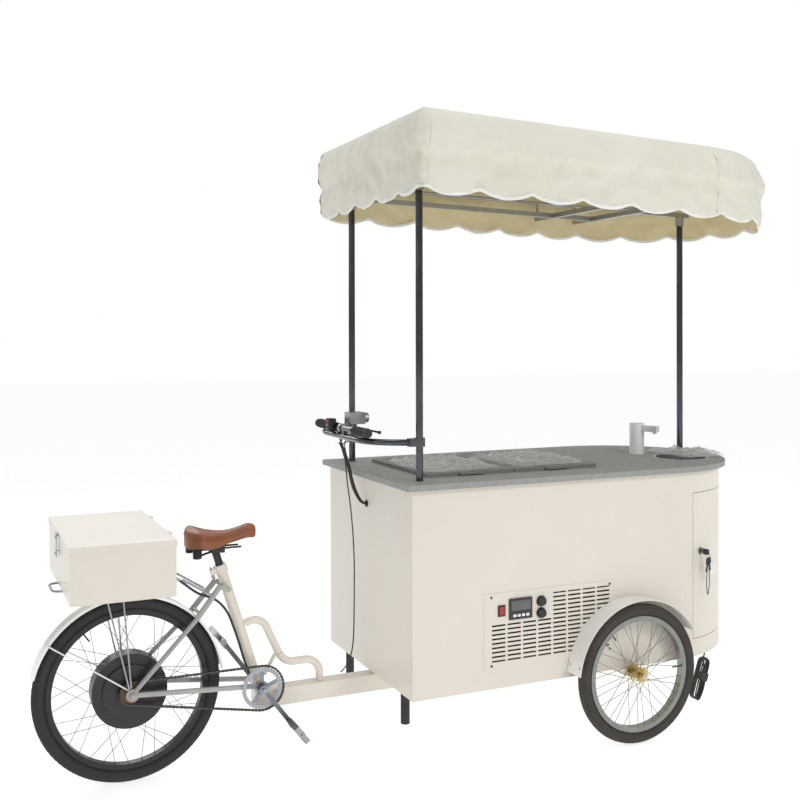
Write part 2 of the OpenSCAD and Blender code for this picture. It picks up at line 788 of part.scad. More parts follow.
// Bundle from the bar over the counter's edge and into the rear wall
bundle_route = [[-96, 30, 1098], [-78, 34, 1060], [-62, 34, 1010], [-52, 32, 965],
    [-40, 26, 920], [-24, 16, 884], [-8, 8, 870], [6, 8, 870]];
// Brake cable down to the main beam
brake_route = [[-92, 44, 1110], [-74, 50, 1060], [-64, 54, 1000], [-56, 60, 940],
    [-44, 62, 860], [-36, 58, 760], [-34, 50, 660], [-36, 44, 560], [-38, 42, 460],
    [-40, 42, 380], [-50, 36, 320], [-72, 24, 280], [-104, 10, 258]];

// Tube of round section along a list of points
module tube_along(pts, r, sides) {
    n = len(pts);
    dir = [for (i = [0:n - 1]) let (d = pts[min(i + 1, n - 1)] - pts[max(i - 1, 0)]) d / norm(d)];
    ref = [0.31, 0.93, 0.2];
    rings = [for (i = [0:n - 1]) let (u = cross(dir[i], ref), v = cross(dir[i], u))
        for (k = [0:sides - 1]) pts[i] + r * cos(360 * k / sides) * u / norm(u)
            + r * sin(360 * k / sides) * v / norm(v)];
    sides_f = [for (i = [0:n - 2]) for (k = [0:sides - 1])
        [i * sides + k, i * sides + (k + 1) % sides, (i + 1) * sides + (k + 1) % sides,
            (i + 1) * sides + k]];
    caps = [[for (k = [sides - 1:-1:0]) k], [for (k = [0:sides - 1]) (n - 1) * sides + k]];
    polyhedron(points = rings, faces = concat(sides_f, caps));
}

// Catmull-Rom points between the chosen ones
function smooth(p, n) = concat([for (i = [0:len(p) - 2]) for (k = [0:n - 1])
    let (a = p[max(i - 1, 0)], b = p[i], c = p[i + 1], d = p[min(i + 2, len(p) - 1)], t = k / n)
        0.5 * (2 * b + (c - a) * t + (2 * a - 5 * b + 4 * c - d) * t * t
            + (3 * b - a - 3 * c + d) * t * t * t)], [p[len(p) - 1]]);

module control_cables() {
    color(black) placed() {
        tube_along(smooth(bundle_route, 3), 7, 8);
        tube_along(smooth(brake_route, 2), 2.5, 8);
    }
}

// ---------------------------------------------------------------- front wheels

fender_a0 = 30;
fender_a1 = 174;
fender_r = fw_r + 17;
fender_w = 84;
fender_t = 1.5;
rim_depth = 17;
rim_w = 30;

module front_fenders() {
    mid_a = (fender_a0 + fender_a1) / 2;
    color("white") placed() for (s = [-1, 1]) for (a = [[fender_a0, mid_a], [mid_a, fender_a1]])
        translate([fw_x, s * (half_w + panel_t + 0.6 + fender_w / 2), fw_r]) rotate([90, 0, 0])
            translate([0, 0, -fender_w / 2]) intersection() {
                difference() {
                    cylinder(h = fender_w, r = fender_r + fender_t, $fn = 96);
                    translate([0, 0, -1]) cylinder(h = fender_w + 2, r = fender_r, $fn = 96);
                }
                translate([0, 0, -1]) sector(a[0], a[1], fender_r * 1.3, fender_w + 2);
            }
}

// Tyre around the Y axis: an open C in section, seated on the rim
module tyre(r, w, bead_r) {
    rotate([90, 0, 0]) rotate_extrude($fn = 96) difference() {
        union() {
            translate([r - w / 2, 0]) circle(r = w / 2);
            translate([bead_r, -rim_w / 2 + 2]) square([r - w / 2 - bead_r, rim_w - 4]);
        }
        translate([r - w / 2, 0]) circle(r = w / 2 - 4);
        translate([bead_r - 1, -rim_w / 2 + 5]) square([r - w / 2 - bead_r + 1, rim_w - 10]);
    }
}

// Box-section rim around the Y axis, just inside the tyre's beads
module rim(bead_r) {
    rotate([90, 0, 0]) rotate_extrude($fn = 96) difference() {
        translate([bead_r - rim_depth, -rim_w / 2]) square([rim_depth + 0.6, rim_w]);
        translate([bead_r - 3, -rim_w / 2 + 1.5]) square([12, rim_w - 3]);
        translate([bead_r - rim_depth + 2, -rim_w / 2 + 3]) square([rim_depth - 7, rim_w - 6]);
    }
}

// Crossed spokes from two flanges to the rim
module spokes(n, flange_r, flange_y, rim_in, lean) {
    for (i = [0:n - 1]) let (side = i % 2 == 0 ? 1 : -1, a = 360 * i / n,
        b = a + (floor(i / 2) % 2 == 0 ? lean : -lean))
        rod([flange_r * cos(b), side * flange_y, flange_r * sin(b)],
            [rim_in * cos(a), side * 4, rim_in * sin(a)], 1.1, $fn = 16);
}

fw_bead = fw_r - 44;
rw_bead = rw_r - 45;
hub_half = 36;

module at_front_wheel(s) {
    placed() translate([fw_x, s * (half_w + fw_gap), fw_r]) children();
}

module front_tyre_left() { color(black) at_front_wheel(1) tyre(fw_r, fw_tyre, fw_bead - 1.5); }
module front_tyre_right() { color(black) at_front_wheel(-1) tyre(fw_r, fw_tyre, fw_bead - 1.5); }

module front_wheel(s) {
    color(silver) at_front_wheel(s) {
        rim(fw_bead);
        spokes(36, 24.4, 25, fw_bead - rim_depth + 0.6, 62);
        difference() {
            union() {
                y_bar(0, 0, -hub_half, hub_half, 12);
                for (y = [-27, 23]) y_bar(0, 0, y, y + 4, 26);
                for (y = [-hub_half, hub_half - 9]) y_bar(0, 0, y, y + 9, 17);
            }
            y_bar(0, 0, -60, 60, fw_axle_r + fit);
        }
        translate([fw_bead - rim_depth - 34, 0, 0]) rotate([0, 90, 0]) cylinder(h = 34.5, r = 3);
    }
}
module front_wheel_left() { front_wheel(1); }
module front_wheel_right() { front_wheel(-1); }

// ---------------------------------------------------------------- mains cord

gland_x = 1315;
gland_y = -300;
cord_r = 3;
cord_route = [[0, 0, -22], [1, 0, -28], [0, 0, -34], [-2, 0, -39], [-5, 0, -44]];
hank_len = 172;
hank_w = 46;
hank_t = 30;
hank_tilt = 18;
hank_x = 1290;
hank_z = 138;
plug_u = -14;

module cord_gland() {
    color(black) placed() translate([gland_x, gland_y, cab_z]) {
        translate([0, 0, -8]) cylinder(h = 7.9, r = 10, $fn = 24);
        translate([0, 0, -22]) cylinder(h = 15, r = 7);
    }
}

module cord_lead() {
    color(black) placed() translate([gland_x, gland_y, cab_z]) tube_along(cord_route, cord_r, 8);
}

module cord_hank() {
    color(black) placed() translate([hank_x, gland_y, hank_z]) rotate([0, hank_tilt, 0])
        rotate([90, 0, 0]) translate([0, 0, -hank_t / 2]) linear_extrude(hank_t) {
            square([hank_w, hank_len - hank_w], center = true);
            for (s = [-1, 1]) translate([0, s * (hank_len - hank_w) / 2]) circle(r = hank_w / 2);
        }
}

module mains_plug() {
    color(black) placed() translate([hank_x, gland_y, hank_z]) rotate([0, hank_tilt, 0])
        translate([plug_u, -hank_t / 2 - 15, 20]) {
            translate([-16, -13, -22]) cube([32, 26, 30]);
            translate([0, 0, 7]) cylinder(h = 22, r = 6);
            for (x = [-6, 6]) translate([x, 0, -41]) cylinder(h = 20, r = 2.4);
        }
}

// ---------------------------------------------------------------- rear frame

bb = [-crank_back, 0, crank_z];
bb_half = 35;
stay_y = 78;
axle_p = [-rw_back, 0, rw_r];
spindle_r = 8;

// Frame of reference with Z up the seat tube, origin at the crank axle
module at_seat() {
    placed() translate(bb) rotate([0, -seat_a, 0]) children();
}

module main_frame() {
    color(cream) placed() {
        difference() {
            union() {
                translate([-crank_back - 14, -beam_s / 2, beam_top - beam_s])
                    cube([crank_back + pin_x + 70, beam_s, beam_s]);
                y_bar(bb[0], bb[2], -bb_half, bb_half, spindle_r + 14);
                translate([pin_x - 75, -75, beam_top - 0.5]) cube([150, 150, 6.5]);
                translate(bb) rotate([0, -seat_a, 0]) cylinder(h = seat_tube_l, r = seat_tube_d / 2);
                translate(bb) rotate([0, -seat_a, 0]) translate([0, 0, seat_tube_l - 26])
                    cylinder(h = 27, r = seat_tube_d / 2 + 4);
                translate(bb) rotate([0, -seat_a, 0])
                    translate([-seat_tube_d / 2 - 20, -12, seat_tube_l - 22]) cube([24, 24, 18]);
                // Curved tube between the seat tube and the beam
                loop_tube();
                rod([-349, 0, 372], [-398, 0, 292], 7);
            }
            y_bar(bb[0], bb[2], -60, 60, spindle_r + fit);
            translate(bb) rotate([0, -seat_a, 0]) translate([0, 0, 60])
                cylinder(h = seat_tube_l, r = seat_post_d / 2 + fit);
            translate([-crank_back + 45, -beam_s / 2 + 3, beam_top - beam_s + 3])
                cube([crank_back + pin_x - 45, beam_s - 6, beam_s - 6]);
            // Pivot hole of the seat clamp's lever
            translate(bb) rotate([0, -seat_a, 0])
                translate([-seat_tube_d / 2 - 14, 0, seat_tube_l - 30]) cylinder(h = 40, r = 3 + fit);
        }
        // Steering pin with its nut
        translate([pin_x, 0, beam_top - 2.9]) cylinder(h = bush_top - beam_top + 18, r = pin_r);
        translate([pin_x, 0, bush_top + 0.6]) cylinder(h = 14, r = pin_r + 9, $fn = 6);
    }
}

// Point on a bend's centre line, moved on by step along the tube
function on_bend(x, z, r_bend, a, step) =
    [x + r_bend * cos(a) - step * sin(a), 0, z + r_bend * sin(a) + step * cos(a)];

// Wavy tube in front of the seat tube: three bends joined by straights
module loop_tube() {
    r = loop_d / 2;
    join = 1.5;
    bend_xz(-437, 436, 54, 25, 125, r);
    rod(on_bend(-437, 436, 54, 25, join), on_bend(-285.3, 390, 64, 205, -join), r - 0.1);
    bend_xz(-285.3, 390, 64, 205, 270, r);
    rod([-285.3 - join, 0, 326], [-245 + join, 0, 326], r - 0.1);
    bend_xz(-245, 271, 55, 0, 90, r);
    rod([-190, 0, 271 + join], [-190, 0, beam_top - 4], r - 0.1);
}

module rear_stays() {
    color(grey) placed() difference() {
        union() {
            for (s = [-1, 1]) {
                rod([-crank_back - 18, s * 44, crank_z + 4], [-rw_back + 6, s * stay_y, rw_r], 9);
                rod([-rw_back + 4, s * stay_y, rw_r + 6], [-650, s * 52, 528], 8);
                rod([-650, s * 52, 528], [-562, s * 40, 634], 10);
                rod([-562, s * 40, 634], [-528, s * 24, 610], 8);
                y_bar(-rw_back, rw_r, s * stay_y - 4, s * stay_y + 4, 20);
                y_bar(-rw_back, rw_r, s * (stay_y + 8) - 5, s * (stay_y + 8) + 5, 11);
            }
            y_bar(-637, 544, -50, 50, 6);
            y_bar(-rw_back, rw_r, -stay_y - 20, stay_y + 20, rw_axle_r);
        }
        // Room for the frame's seat tube and crank shell
        translate(bb) rotate([0, -seat_a, 0]) cylinder(h = seat_tube_l, r = seat_tube_d / 2 + 0.1);
        y_bar(bb[0], bb[2], -60, 60, spindle_r + 14.1);
    }
}

module rear_fender() {
    r = rear_fender_r;
    fender_half = 29;
    color("white") placed() {
        translate(axle_p) rotate([90, 0, 0]) for (a = [[6, 86], [86, rear_fender_end]])
            intersection() {
                rotate_extrude($fn = 96) {
                    translate([r - 1.5, -fender_half]) square([1.5, 2 * fender_half]);
                    for (y = [-fender_half, fender_half - 1.5]) translate([r - 9, y])
                        square([9, 1.5]);
                }
                translate([0, 0, -fender_half - 1]) sector(a[0], a[1], r * 1.3,
                    2 * fender_half + 2);
            }
        for (s = [-1, 1]) rod([-rw_back - 8, s * 71, rw_r + 14],
            [-rw_back - 262, s * (fender_half + 3), rw_r + 183], 2.5);
    }
}

box_x0 = -1090;
rack_z = box_z - 9;
rack_r = 4;
rack_y = 62;
rack_end = box_x0 - 26;
rack_bend = 24;
rack_bars = [box_x0 + 10, box_x0 + 110, box_x0 + 210, box_x0 + 310];

module rear_rack() {
    color(silver) placed() {
        for (s = [-1, 1]) {
            rod([rack_end + rack_bend, s * rack_y, rack_z], [-704, s * rack_y, rack_z], rack_r);
            rod([-700, s * rack_y, rack_z - 2], [-598, s * 56, 606], rack_r);
            rod([-rw_back - 30, s * 69.3, rack_z], [-rw_back - 4, s * 80, rw_r + 25], 3);
            rod([-rw_back - 88, s * 69.3, rack_z], [-rw_back - 10, s * 80, rw_r + 22], 3);
            // Rounded corner of the loop behind the box
            translate([rack_end + rack_bend, s * (rack_y - rack_bend), rack_z])
                rotate([0, 0, s > 0 ? 90 : 180]) rotate_extrude(angle = 90)
                    translate([rack_bend, 0]) circle(r = rack_r);
        }
        y_bar(rack_end, rack_z, rack_bend - rack_y, rack_y - rack_bend, rack_r);
        for (x = rack_bars) y_bar(x, rack_z, -rack_y, rack_y, rack_r - 0.5);
    }
}

lid_skirt = 20;
lid_over = 3;
box_hinge_x = box_x0 + box_l + lid_over + 5;
box_hinge_z = box_z + box_h - 4;

module box_body() {
    color(cream) placed() {
        difference() {
            translate([box_x0, -box_w / 2, box_z - 4.9]) cube([box_l, box_w, box_h + 1]);
            translate([box_x0 + 1.5, -box_w / 2 + 1.5, box_z - 3])
                cube([box_l - 3, box_w - 3, box_h + 2]);
        }
        for (y = [-180, 140]) {
            translate([box_hinge_x, y, box_hinge_z]) rotate([-90, 0, 0])
                cylinder(h = 40, r = 2.5);
            for (dy = [0, 32]) translate([0, y + dy, 0]) difference() {
                union() {
                    y_bar(box_hinge_x, box_hinge_z, 0, 8, 5);
                    translate([box_x0 + box_l - 0.5, 0, box_hinge_z - 34])
                        cube([lid_over + 6, 8, 30]);
                }
                y_bar(box_hinge_x, box_hinge_z, -1, 9, 2.5 - eps);
            }
        }
        // Staple for the hasp
        translate([box_x0 - 7, -4, box_z + 110]) cube([7.5, 8, 3]);
    }
}

module box_lid() {
    z0 = box_z + box_h - lid_skirt;
    color(cream) placed() difference() {
        union() {
            difference() {
                translate([box_x0 - lid_over, -box_w / 2 - lid_over, z0])
                    cube([box_l + 2 * lid_over, box_w + 2 * lid_over, lid_skirt]);
                translate([box_x0 - lid_over + 1.5, -box_w / 2 - lid_over + 1.5, z0 - 1])
                    cube([box_l + 2 * lid_over - 3, box_w + 2 * lid_over - 3, lid_skirt - 0.5]);
            }
            for (y = [-180, 140]) {
                y_bar(box_hinge_x, box_hinge_z, y + 8.5, y + 31.5, 5);
                translate([box_x0 + box_l + lid_over - 1, y + 8.5, box_hinge_z + 2])
                    cube([6, 23, 2]);
            }
        }
        // No skirt on the hinge side, where it would swing into the wall
        translate([box_x0 + box_l + 0.4, -box_w / 2 - 1, z0 - 1])
            cube([lid_over + 0.2, box_w + 2, lid_skirt - 1.5]);
        for (y = [-180, 140]) {
            y_bar(box_hinge_x, box_hinge_z, y - 5, y + 45, 2.5 + fit);
            for (dy = [-1.5, 31.5]) translate([box_x0 + box_l + 0.4, y + dy, z0 - 3])
                cube([14, 10, 40]);
        }
    }
}

module box_hasp() {
    color(silver) placed() difference() {
        union() {
            translate([box_x0 - lid_over - 6.3, -14, box_z + 92]) cube([2, 28, 74]);
            y_bar(box_x0 - lid_over - 4.3, box_z + box_h - 10, -14, 14, 4);
        }
        translate([box_x0 - 20, -6, box_z + 104]) cube([20, 12, 14]);
    }
}

module battery_pack() {
    color(black) placed() {
        translate([box_x0 + 12, -250, box_z - 2.5]) cube([box_l - 24, 260, 110]);
        translate([box_x0 + 40, 60, box_z - 2.5]) cube([150, 90, 50]);
    }
}

cable_route = [[-769, -26, 690], [-750, -26, 689], [-722, -26, 676], [-690, -27, 651],
    [-640, -28, 612],
    [-580, -30, 584], [-540, -30, 540], [-514, -26, 480], [-494, -25, 420],
    [-476, -25, 360], [-458, -26, 310]];

module frame_cable() {
    color(black) placed() tube_along(smooth(cable_route, 2), 4.5, 8);
}

// ---------------------------------------------------------------- drive

ring_r = chain_pitch / 2 / sin(180 / ring_teeth);
cog_r = chain_pitch / 2 / sin(180 / cog_teeth);
chain_y = -60;
chain_half = 4;

// Flat loop around both sprockets, grown or shrunk by off
module chain_loop(off) {
    hull() {
        circle(r = ring_r + off, $fn = 96);
        translate([crank_back - rw_back, rw_r - crank_z]) circle(r = cog_r + off, $fn = 96);
    }
}

module chain() {
    color([0.2, 0.19, 0.18]) placed() translate([bb[0], chain_y, bb[2]]) rotate([90, 0, 0])
        translate([0, 0, -3.5]) linear_extrude(7) difference() {
            chain_loop(chain_half);
            chain_loop(-chain_half);
        }
}

// Toothed disc that runs just inside the chain band
module toothed(n, r, t) {
    tip = r - chain_half - 0.4;
    linear_extrude(t) difference() {
        circle(r = tip, $fn = 96);
        for (i = [0:n - 1]) rotate(360 * i / n) translate([tip + 0.8, 0])
            circle(r = 3.2, $fn = 16);
    }
}

module freewheel() {
    color([0.36, 0.22, 0.15]) placed() translate([axle_p[0], chain_y, axle_p[2]])
        rotate([90, 0, 0]) difference() {
            union() {
                translate([0, 0, -1.2]) toothed(cog_teeth, cog_r, 2.4);
                translate([0, 0, -5]) cylinder(h = 9.5, r = 24);
            }
            translate([0, 0, -20]) cylinder(h = 40, r = 17 + fit);
        }
}

module crankset() {
    end = [cos(-crank_a) * crank_l, sin(-crank_a) * crank_l];
    color([0.62, 0.66, 0.72]) placed() translate(bb) rotate([90, 0, 0]) {
        // Chainring with five arms, on the right
        translate([0, 0, -chain_y - 1.5]) {
            difference() {
                toothed(ring_teeth, ring_r, 3);
                translate([0, 0, -1]) cylinder(h = 5, r = ring_r - 19);
            }
            for (i = [0:4]) rotate(72 * i + 20) translate([0, -7, 0.2])
                cube([ring_r - 17, 14, 2.6]);
            cylinder(h = 3, r = 24);
        }
        translate([0, 0, -94]) cylinder(h = 188, r = spindle_r);
        for (s = [-1, 1]) {
            translate([0, 0, s * 78 - 9]) {
                cylinder(h = 18, r = 15);
                rotate(s > 0 ? -crank_a : 180 - crank_a) translate([0, -8, 2])
                    cube([crank_l, 16, 14]);
                translate(s * end) cylinder(h = 18, r = 12);
            }
            translate([s * end[0], s * end[1], s > 0 ? 86 : -86 - 110])
                cylinder(h = 110, r = 5);
        }
    }
}

module pedal(s) {
    end = [cos(-crank_a) * crank_l, sin(-crank_a) * crank_l];
    color(silver) placed() translate([bb[0] + s * end[0], 0, bb[2] + s * end[1]])
        translate([0, -s * 146, 0]) rotate([0, pedal_a, 0]) difference() {
            union() {
                for (x = [-34, 28]) translate([x, -46, -10]) cube([6, 92, 20]);
                for (y = [-46, 40]) translate([-34, y, -8]) cube([68, 6, 16]);
                y_bar(0, 0, -46, 46, 11);
            }
            y_bar(0, 0, -60, 60, 5 + fit);
        }
}
module pedal_left() { pedal(-1); }
module pedal_right() { pedal(1); }

// ---------------------------------------------------------------- rear wheel

module rear_tyre() {
    color(black) placed() translate(axle_p) tyre(rw_r, rw_tyre, rw_bead - 1.5);
}

module rear_rim() {
    color(black) placed() translate(axle_p) {
        rim(rw_bead);
        spokes(36, motor_d / 2 - 3.4, 28, rw_bead - rim_depth + 0.6, 24);
    }
}

module hub_motor() {
    color(black) placed() translate(axle_p) difference() {
        union() {
            y_bar(0, 0, -32, 32, motor_d / 2);
            y_bar(0, 0, -40, 40, motor_d / 2 - 34);
            y_bar(0, 0, -65.5, 65.5, 17);
        }
        y_bar(0, 0, -80, 80, rw_axle_r + fit);
        y_bar(0, 0, -24, 24, motor_d / 2 - 12);
    }
}

// ---------------------------------------------------------------- saddle

post_in = 180;
post_out = 55;
saddle_z = 800;

module seat_post() {
    color(silver) {
        at_seat() translate([0, 0, seat_tube_l - post_in])
            cylinder(h = post_in + post_out, r = seat_post_d / 2);
        placed() {
            translate([-590, -26, 742]) cube([46, 52, 22]);
            for (s = [-1, 1]) {
                rod([-655, s * 24, 757], [-485, s * 20, 757], 3.5);
                translate([-648, s * 56, 735]) cylinder(h = 29, r = 13);
                rod([-648, s * 56, 742], [-590, s * 20, 748], 4);
            }
        }
    }
}

module saddle() {
    color([0.55, 0.26, 0.12]) placed() difference() {
        hull() {
            for (s = [-1, 1]) translate([-640, s * 66, saddle_z - 6]) sphere(r = 40, $fn = 32);
            translate([-560, 0, saddle_z - 2]) sphere(r = 34, $fn = 32);
            translate([-452, 0, saddle_z + 2]) sphere(r = 26, $fn = 32);
        }
        translate([-800, -200, saddle_z - 134]) cube([500, 400, 100]);
    }
}

module seat_lever() {
    color(silver) at_seat() difference() {
        union() {
            translate([-seat_tube_d / 2 - 14, 0, seat_tube_l - 40]) cylinder(h = 17, r = 6);
            translate([-seat_tube_d / 2 - 18, -2, seat_tube_l - 40]) cube([8, 30, 6]);
            translate([-seat_tube_d / 2 - 14, 0, seat_tube_l - 40]) cylinder(h = 45, r = 3);
        }
    }
}

cabinet_skin();
underframe();
countertop();
freezer_tub();
cooling_unit();
water_tanks();
sink_bowl();
water_dispenser();
grille_panel();
panel_fittings();
posts();
canopy_frame();
canopy_cover();
handlebar();
left_grip();
headlamp();
control_cables();
front_fenders();
cord_gland();
cord_lead();
cord_hank();
mains_plug();
lid_rear();
lid_front();
cabinet_door();
door_lock();
door_key();
rocker_switch();
brake_lever_left();
brake_lever_right();
throttle_grip();
button_red();
button_orange();
button_green();
stand_leg_left();
stand_leg_right();
front_tyre_left();
front_tyre_right();
front_wheel_left();
front_wheel_right();
main_frame();
rear_stays();
rear_fender();
rear_rack();
box_body();
battery_pack();
chain();
frame_cable();
rear_tyre();
rear_rim();
hub_motor();
freewheel();
crankset();
pedal_left();
pedal_right();
seat_post();
saddle();
seat_lever();
box_lid();
box_hasp();
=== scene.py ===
import math

import bmesh
import bpy
from mathutils import Euler, Matrix, Vector, noise


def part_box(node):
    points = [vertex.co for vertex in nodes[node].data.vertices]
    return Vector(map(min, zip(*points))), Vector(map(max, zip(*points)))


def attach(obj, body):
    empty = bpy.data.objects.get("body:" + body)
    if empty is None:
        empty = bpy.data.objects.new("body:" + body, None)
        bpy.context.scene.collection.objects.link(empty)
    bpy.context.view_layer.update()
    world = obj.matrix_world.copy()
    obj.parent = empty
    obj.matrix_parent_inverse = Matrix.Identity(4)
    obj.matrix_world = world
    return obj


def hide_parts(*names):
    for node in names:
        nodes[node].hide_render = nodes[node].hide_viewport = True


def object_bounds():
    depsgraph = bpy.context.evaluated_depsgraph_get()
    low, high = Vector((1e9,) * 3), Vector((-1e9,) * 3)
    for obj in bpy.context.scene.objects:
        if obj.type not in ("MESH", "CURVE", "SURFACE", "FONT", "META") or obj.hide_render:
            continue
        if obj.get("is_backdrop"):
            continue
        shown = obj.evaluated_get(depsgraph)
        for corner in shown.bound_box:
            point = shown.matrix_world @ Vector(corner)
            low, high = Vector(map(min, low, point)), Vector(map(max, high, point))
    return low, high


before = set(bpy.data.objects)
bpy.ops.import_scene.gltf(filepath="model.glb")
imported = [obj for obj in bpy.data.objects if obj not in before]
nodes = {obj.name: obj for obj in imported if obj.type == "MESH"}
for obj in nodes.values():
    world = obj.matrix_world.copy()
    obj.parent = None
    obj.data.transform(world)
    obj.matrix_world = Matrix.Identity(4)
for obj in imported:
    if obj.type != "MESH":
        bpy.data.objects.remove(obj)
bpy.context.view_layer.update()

# ---- Where things stand ----------------------------------------------------
# Every place is measured from the cabinet's rear face, on the middle plane and
# up from the ground, as on the maker's drawing. The cabinet's box gives it.
rear_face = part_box("cabinet_skin")[0].x
half_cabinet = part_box("cabinet_skin")[1].y


def at(x, y, z):
    """Point in the frame from millimetres behind or ahead of the rear face."""
    return Vector((rear_face + x / 1000, y / 1000, z / 1000))


# ---- Camera ----------------------------------------------------------------
# A normal lens at eye height, behind the right rear corner, shifted down so
# that the posts stay upright.
camera_data = bpy.data.cameras.new("camera")
camera_data.sensor_width = 36
camera_data.lens = 47.0
camera_data.shift_x = -0.0043
camera_data.shift_y = -0.0778
camera_data.clip_end = 100
camera = bpy.data.objects.new("camera", camera_data)
bpy.context.scene.collection.objects.link(camera)
yaw, pitch, roll = (math.radians(a) for a in (-24.386, -0.151, 0.124))
aim = Matrix.Rotation(yaw, 4, "Z") @ Matrix.Rotation(math.pi / 2 + pitch, 4, "X")
camera.matrix_world = Matrix.Translation(at(-1471.3, -3570.1, 1493.1)) @ aim @ Matrix.Rotation(
    -roll, 4, "Z")
bpy.context.scene.camera = camera


# ---- Mains lead ------------------------------------------------------------
# Black round rubber lead out of the gland under the floor. It hangs as a hank
# of five runs, and its last turn folds over into the moulded plug.
def new_piece(name, mesh, body):
    """Links a mesh or curve as a piece that rides on a body."""
    piece = bpy.data.objects.new(name, mesh)
    bpy.context.scene.collection.objects.link(piece)
    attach(piece, body)
    return piece


def tube_curve(name, points, radius, body, sides=3):
    """Smooth round tube along a list of points, as one open spline."""
    curve = bpy.data.curves.new(name, "CURVE")
    curve.dimensions = "3D"
    curve.bevel_depth = 1.0
    curve.bevel_resolution = sides
    curve.use_fill_caps = True
    spline = curve.splines.new("POLY")
    spline.points.add(len(points) - 1)
    for point, place in zip(spline.points, points):
        point.co = (*place, 1)
        point.radius = radius
    spline.use_smooth = True
    return new_piece(name, curve, body)


def smooth_path(points, steps):
    """Catmull-Rom points between the chosen ones."""
    path = []
    for i in range(len(points) - 1):
        a, b = points[max(i - 1, 0)], points[i]
        c, d = points[i + 1], points[min(i + 2, len(points) - 1)]
        for k in range(steps):
            t = k / steps
            path.append(0.5 * (2 * b + (c - a) * t + (2 * a - 5 * b + 4 * c - d) * t * t
                               + (3 * b - a - 3 * c + d) * t ** 3))
    path.append(points[-1])
    return path


lead_radius = 0.003
gland_end = at(1315, -300, 238)
hank_centre = at(1290, -300, 138)
hank_slope = Matrix.Rotation(math.radians(18), 4, "Y")
run_half, fold_radius = 0.061, 0.0195
hank_turns = 4


def on_hank(u, w, v):
    """Point from the hank's own width, thickness and length, in millimetres."""
    return hank_centre + hank_slope @ Vector((u, w, v)) / 1000


lead_points = [gland_end + Vector(p) / 1000 for p in
               ((0, 0, 0), (1, 0, -6), (0, 0, -12), (-1, 2, -17))]
turn_length = 4 * run_half + 2 * math.pi * fold_radius
coil = []
samples = 44
for i in range(int(hank_turns * samples) + 1):
    along = i / samples * turn_length
    around = along % turn_length
    across = 12 - 24 * (i / (hank_turns * samples))
    half_fold = math.pi * fold_radius
    if around < 2 * run_half:
        u, v = fold_radius, run_half - around
    elif around < 2 * run_half + half_fold:
        turn = (around - 2 * run_half) / fold_radius
        u, v = fold_radius * math.cos(turn), -run_half - fold_radius * math.sin(turn)
    elif around < 4 * run_half + half_fold:
        u, v = -fold_radius, -run_half + (around - 2 * run_half - half_fold)
    else:
        turn = (around - 4 * run_half - half_fold) / fold_radius
        u, v = -fold_radius * math.cos(turn), run_half + fold_radius * math.sin(turn)
    coil.append(on_hank(u * 1000, across, v * 1000))
last_run = [on_hank(fold_radius * 1000, -13, run_half * 1000 - d) for d in (12, 60, 110)]
under = [on_hank(8, -16, -80), on_hank(-8, -19, -77), on_hank(-18, -21, -60)]
up = [on_hank(-19.5, -21, v) for v in (-20, 20, 55)]
over = [on_hank(-19, -22, 74), on_hank(-17, -26, 84), on_hank(-14.5, -30, 78),
        on_hank(-14, -30, 64), on_hank(-14, -30, 49)]
lead_path = smooth_path(lead_points + coil[2:] + last_run + under + up + over, 3)
mains_lead = tube_curve("mains_lead", lead_path, lead_radius, "cart", 3)
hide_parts("cord_lead", "cord_hank")

# ---- Studio ----------------------------------------------------------------
# White floor and backdrop. Sun-like key on the right side, soft fills elsewhere.
floor_mesh = bpy.data.meshes.new("floor")
floor_mesh.from_pydata([(-30, -30, -0.001), (30, -30, -0.001), (30, 30, -0.001),
                        (-30, 30, -0.001)], [], [(0, 1, 2, 3)])
floor = bpy.data.objects.new("floor", floor_mesh)
bpy.context.scene.collection.objects.link(floor)
floor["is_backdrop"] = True
floor_paint = bpy.data.materials.new("floor_paint")
floor_paint.use_nodes = True
floor_shader = floor_paint.node_tree.nodes["Principled BSDF"]
floor_shader.inputs["Base Color"].default_value = (0.50, 0.50, 0.50, 1)
floor_shader.inputs["Roughness"].default_value = 0.8
floor_shader.inputs["Emission Color"].default_value = (1, 1, 1, 1)
floor_shader.inputs["Emission Strength"].default_value = 0.74
floor_mesh.materials.append(floor_paint)

world = bpy.data.worlds.new("studio")
bpy.context.scene.world = world
world.use_nodes = True
backdrop = world.node_tree.nodes["Background"]
backdrop.inputs["Color"].default_value = (1.0, 1.0, 1.0, 1)
seen = world.node_tree.nodes.new("ShaderNodeLightPath")
glow = world.node_tree.nodes.new("ShaderNodeMapRange")
glow.inputs["To Min"].default_value = 0.42
glow.inputs["To Max"].default_value = 1.0
world.node_tree.links.new(seen.outputs["Is Camera Ray"], glow.inputs["Value"])
world.node_tree.links.new(glow.outputs["Result"], backdrop.inputs["Strength"])
bpy.context.scene.view_settings.view_transform = "Standard"
for name, place, size, power, colour in (
        ("key", (1.6, -5.2, 4.2), 1.6, 92, (1, 0.985, 0.95)),
        ("left", (-5.2, -1.2, 3.0), 2.4, 10, (0.95, 0.97, 1)),
        ("top", (0.0, 0.2, 5.8), 3.4, 80, (1, 1, 1)),
        ("back", (-1.0, 5.0, 3.4), 3.0, 60, (1, 1, 1))):
    light_data = bpy.data.lights.new(name, "AREA")
    light_data.size = size
    light_data.energy = power
    light_data.color = colour
    light = bpy.data.objects.new(name, light_data)
    bpy.context.scene.collection.objects.link(light)
    light.location = place
    light.rotation_euler = (Vector((0, 0, 0.9)) - Vector(place)).to_track_quat(
        "-Z", "Y").to_euler()


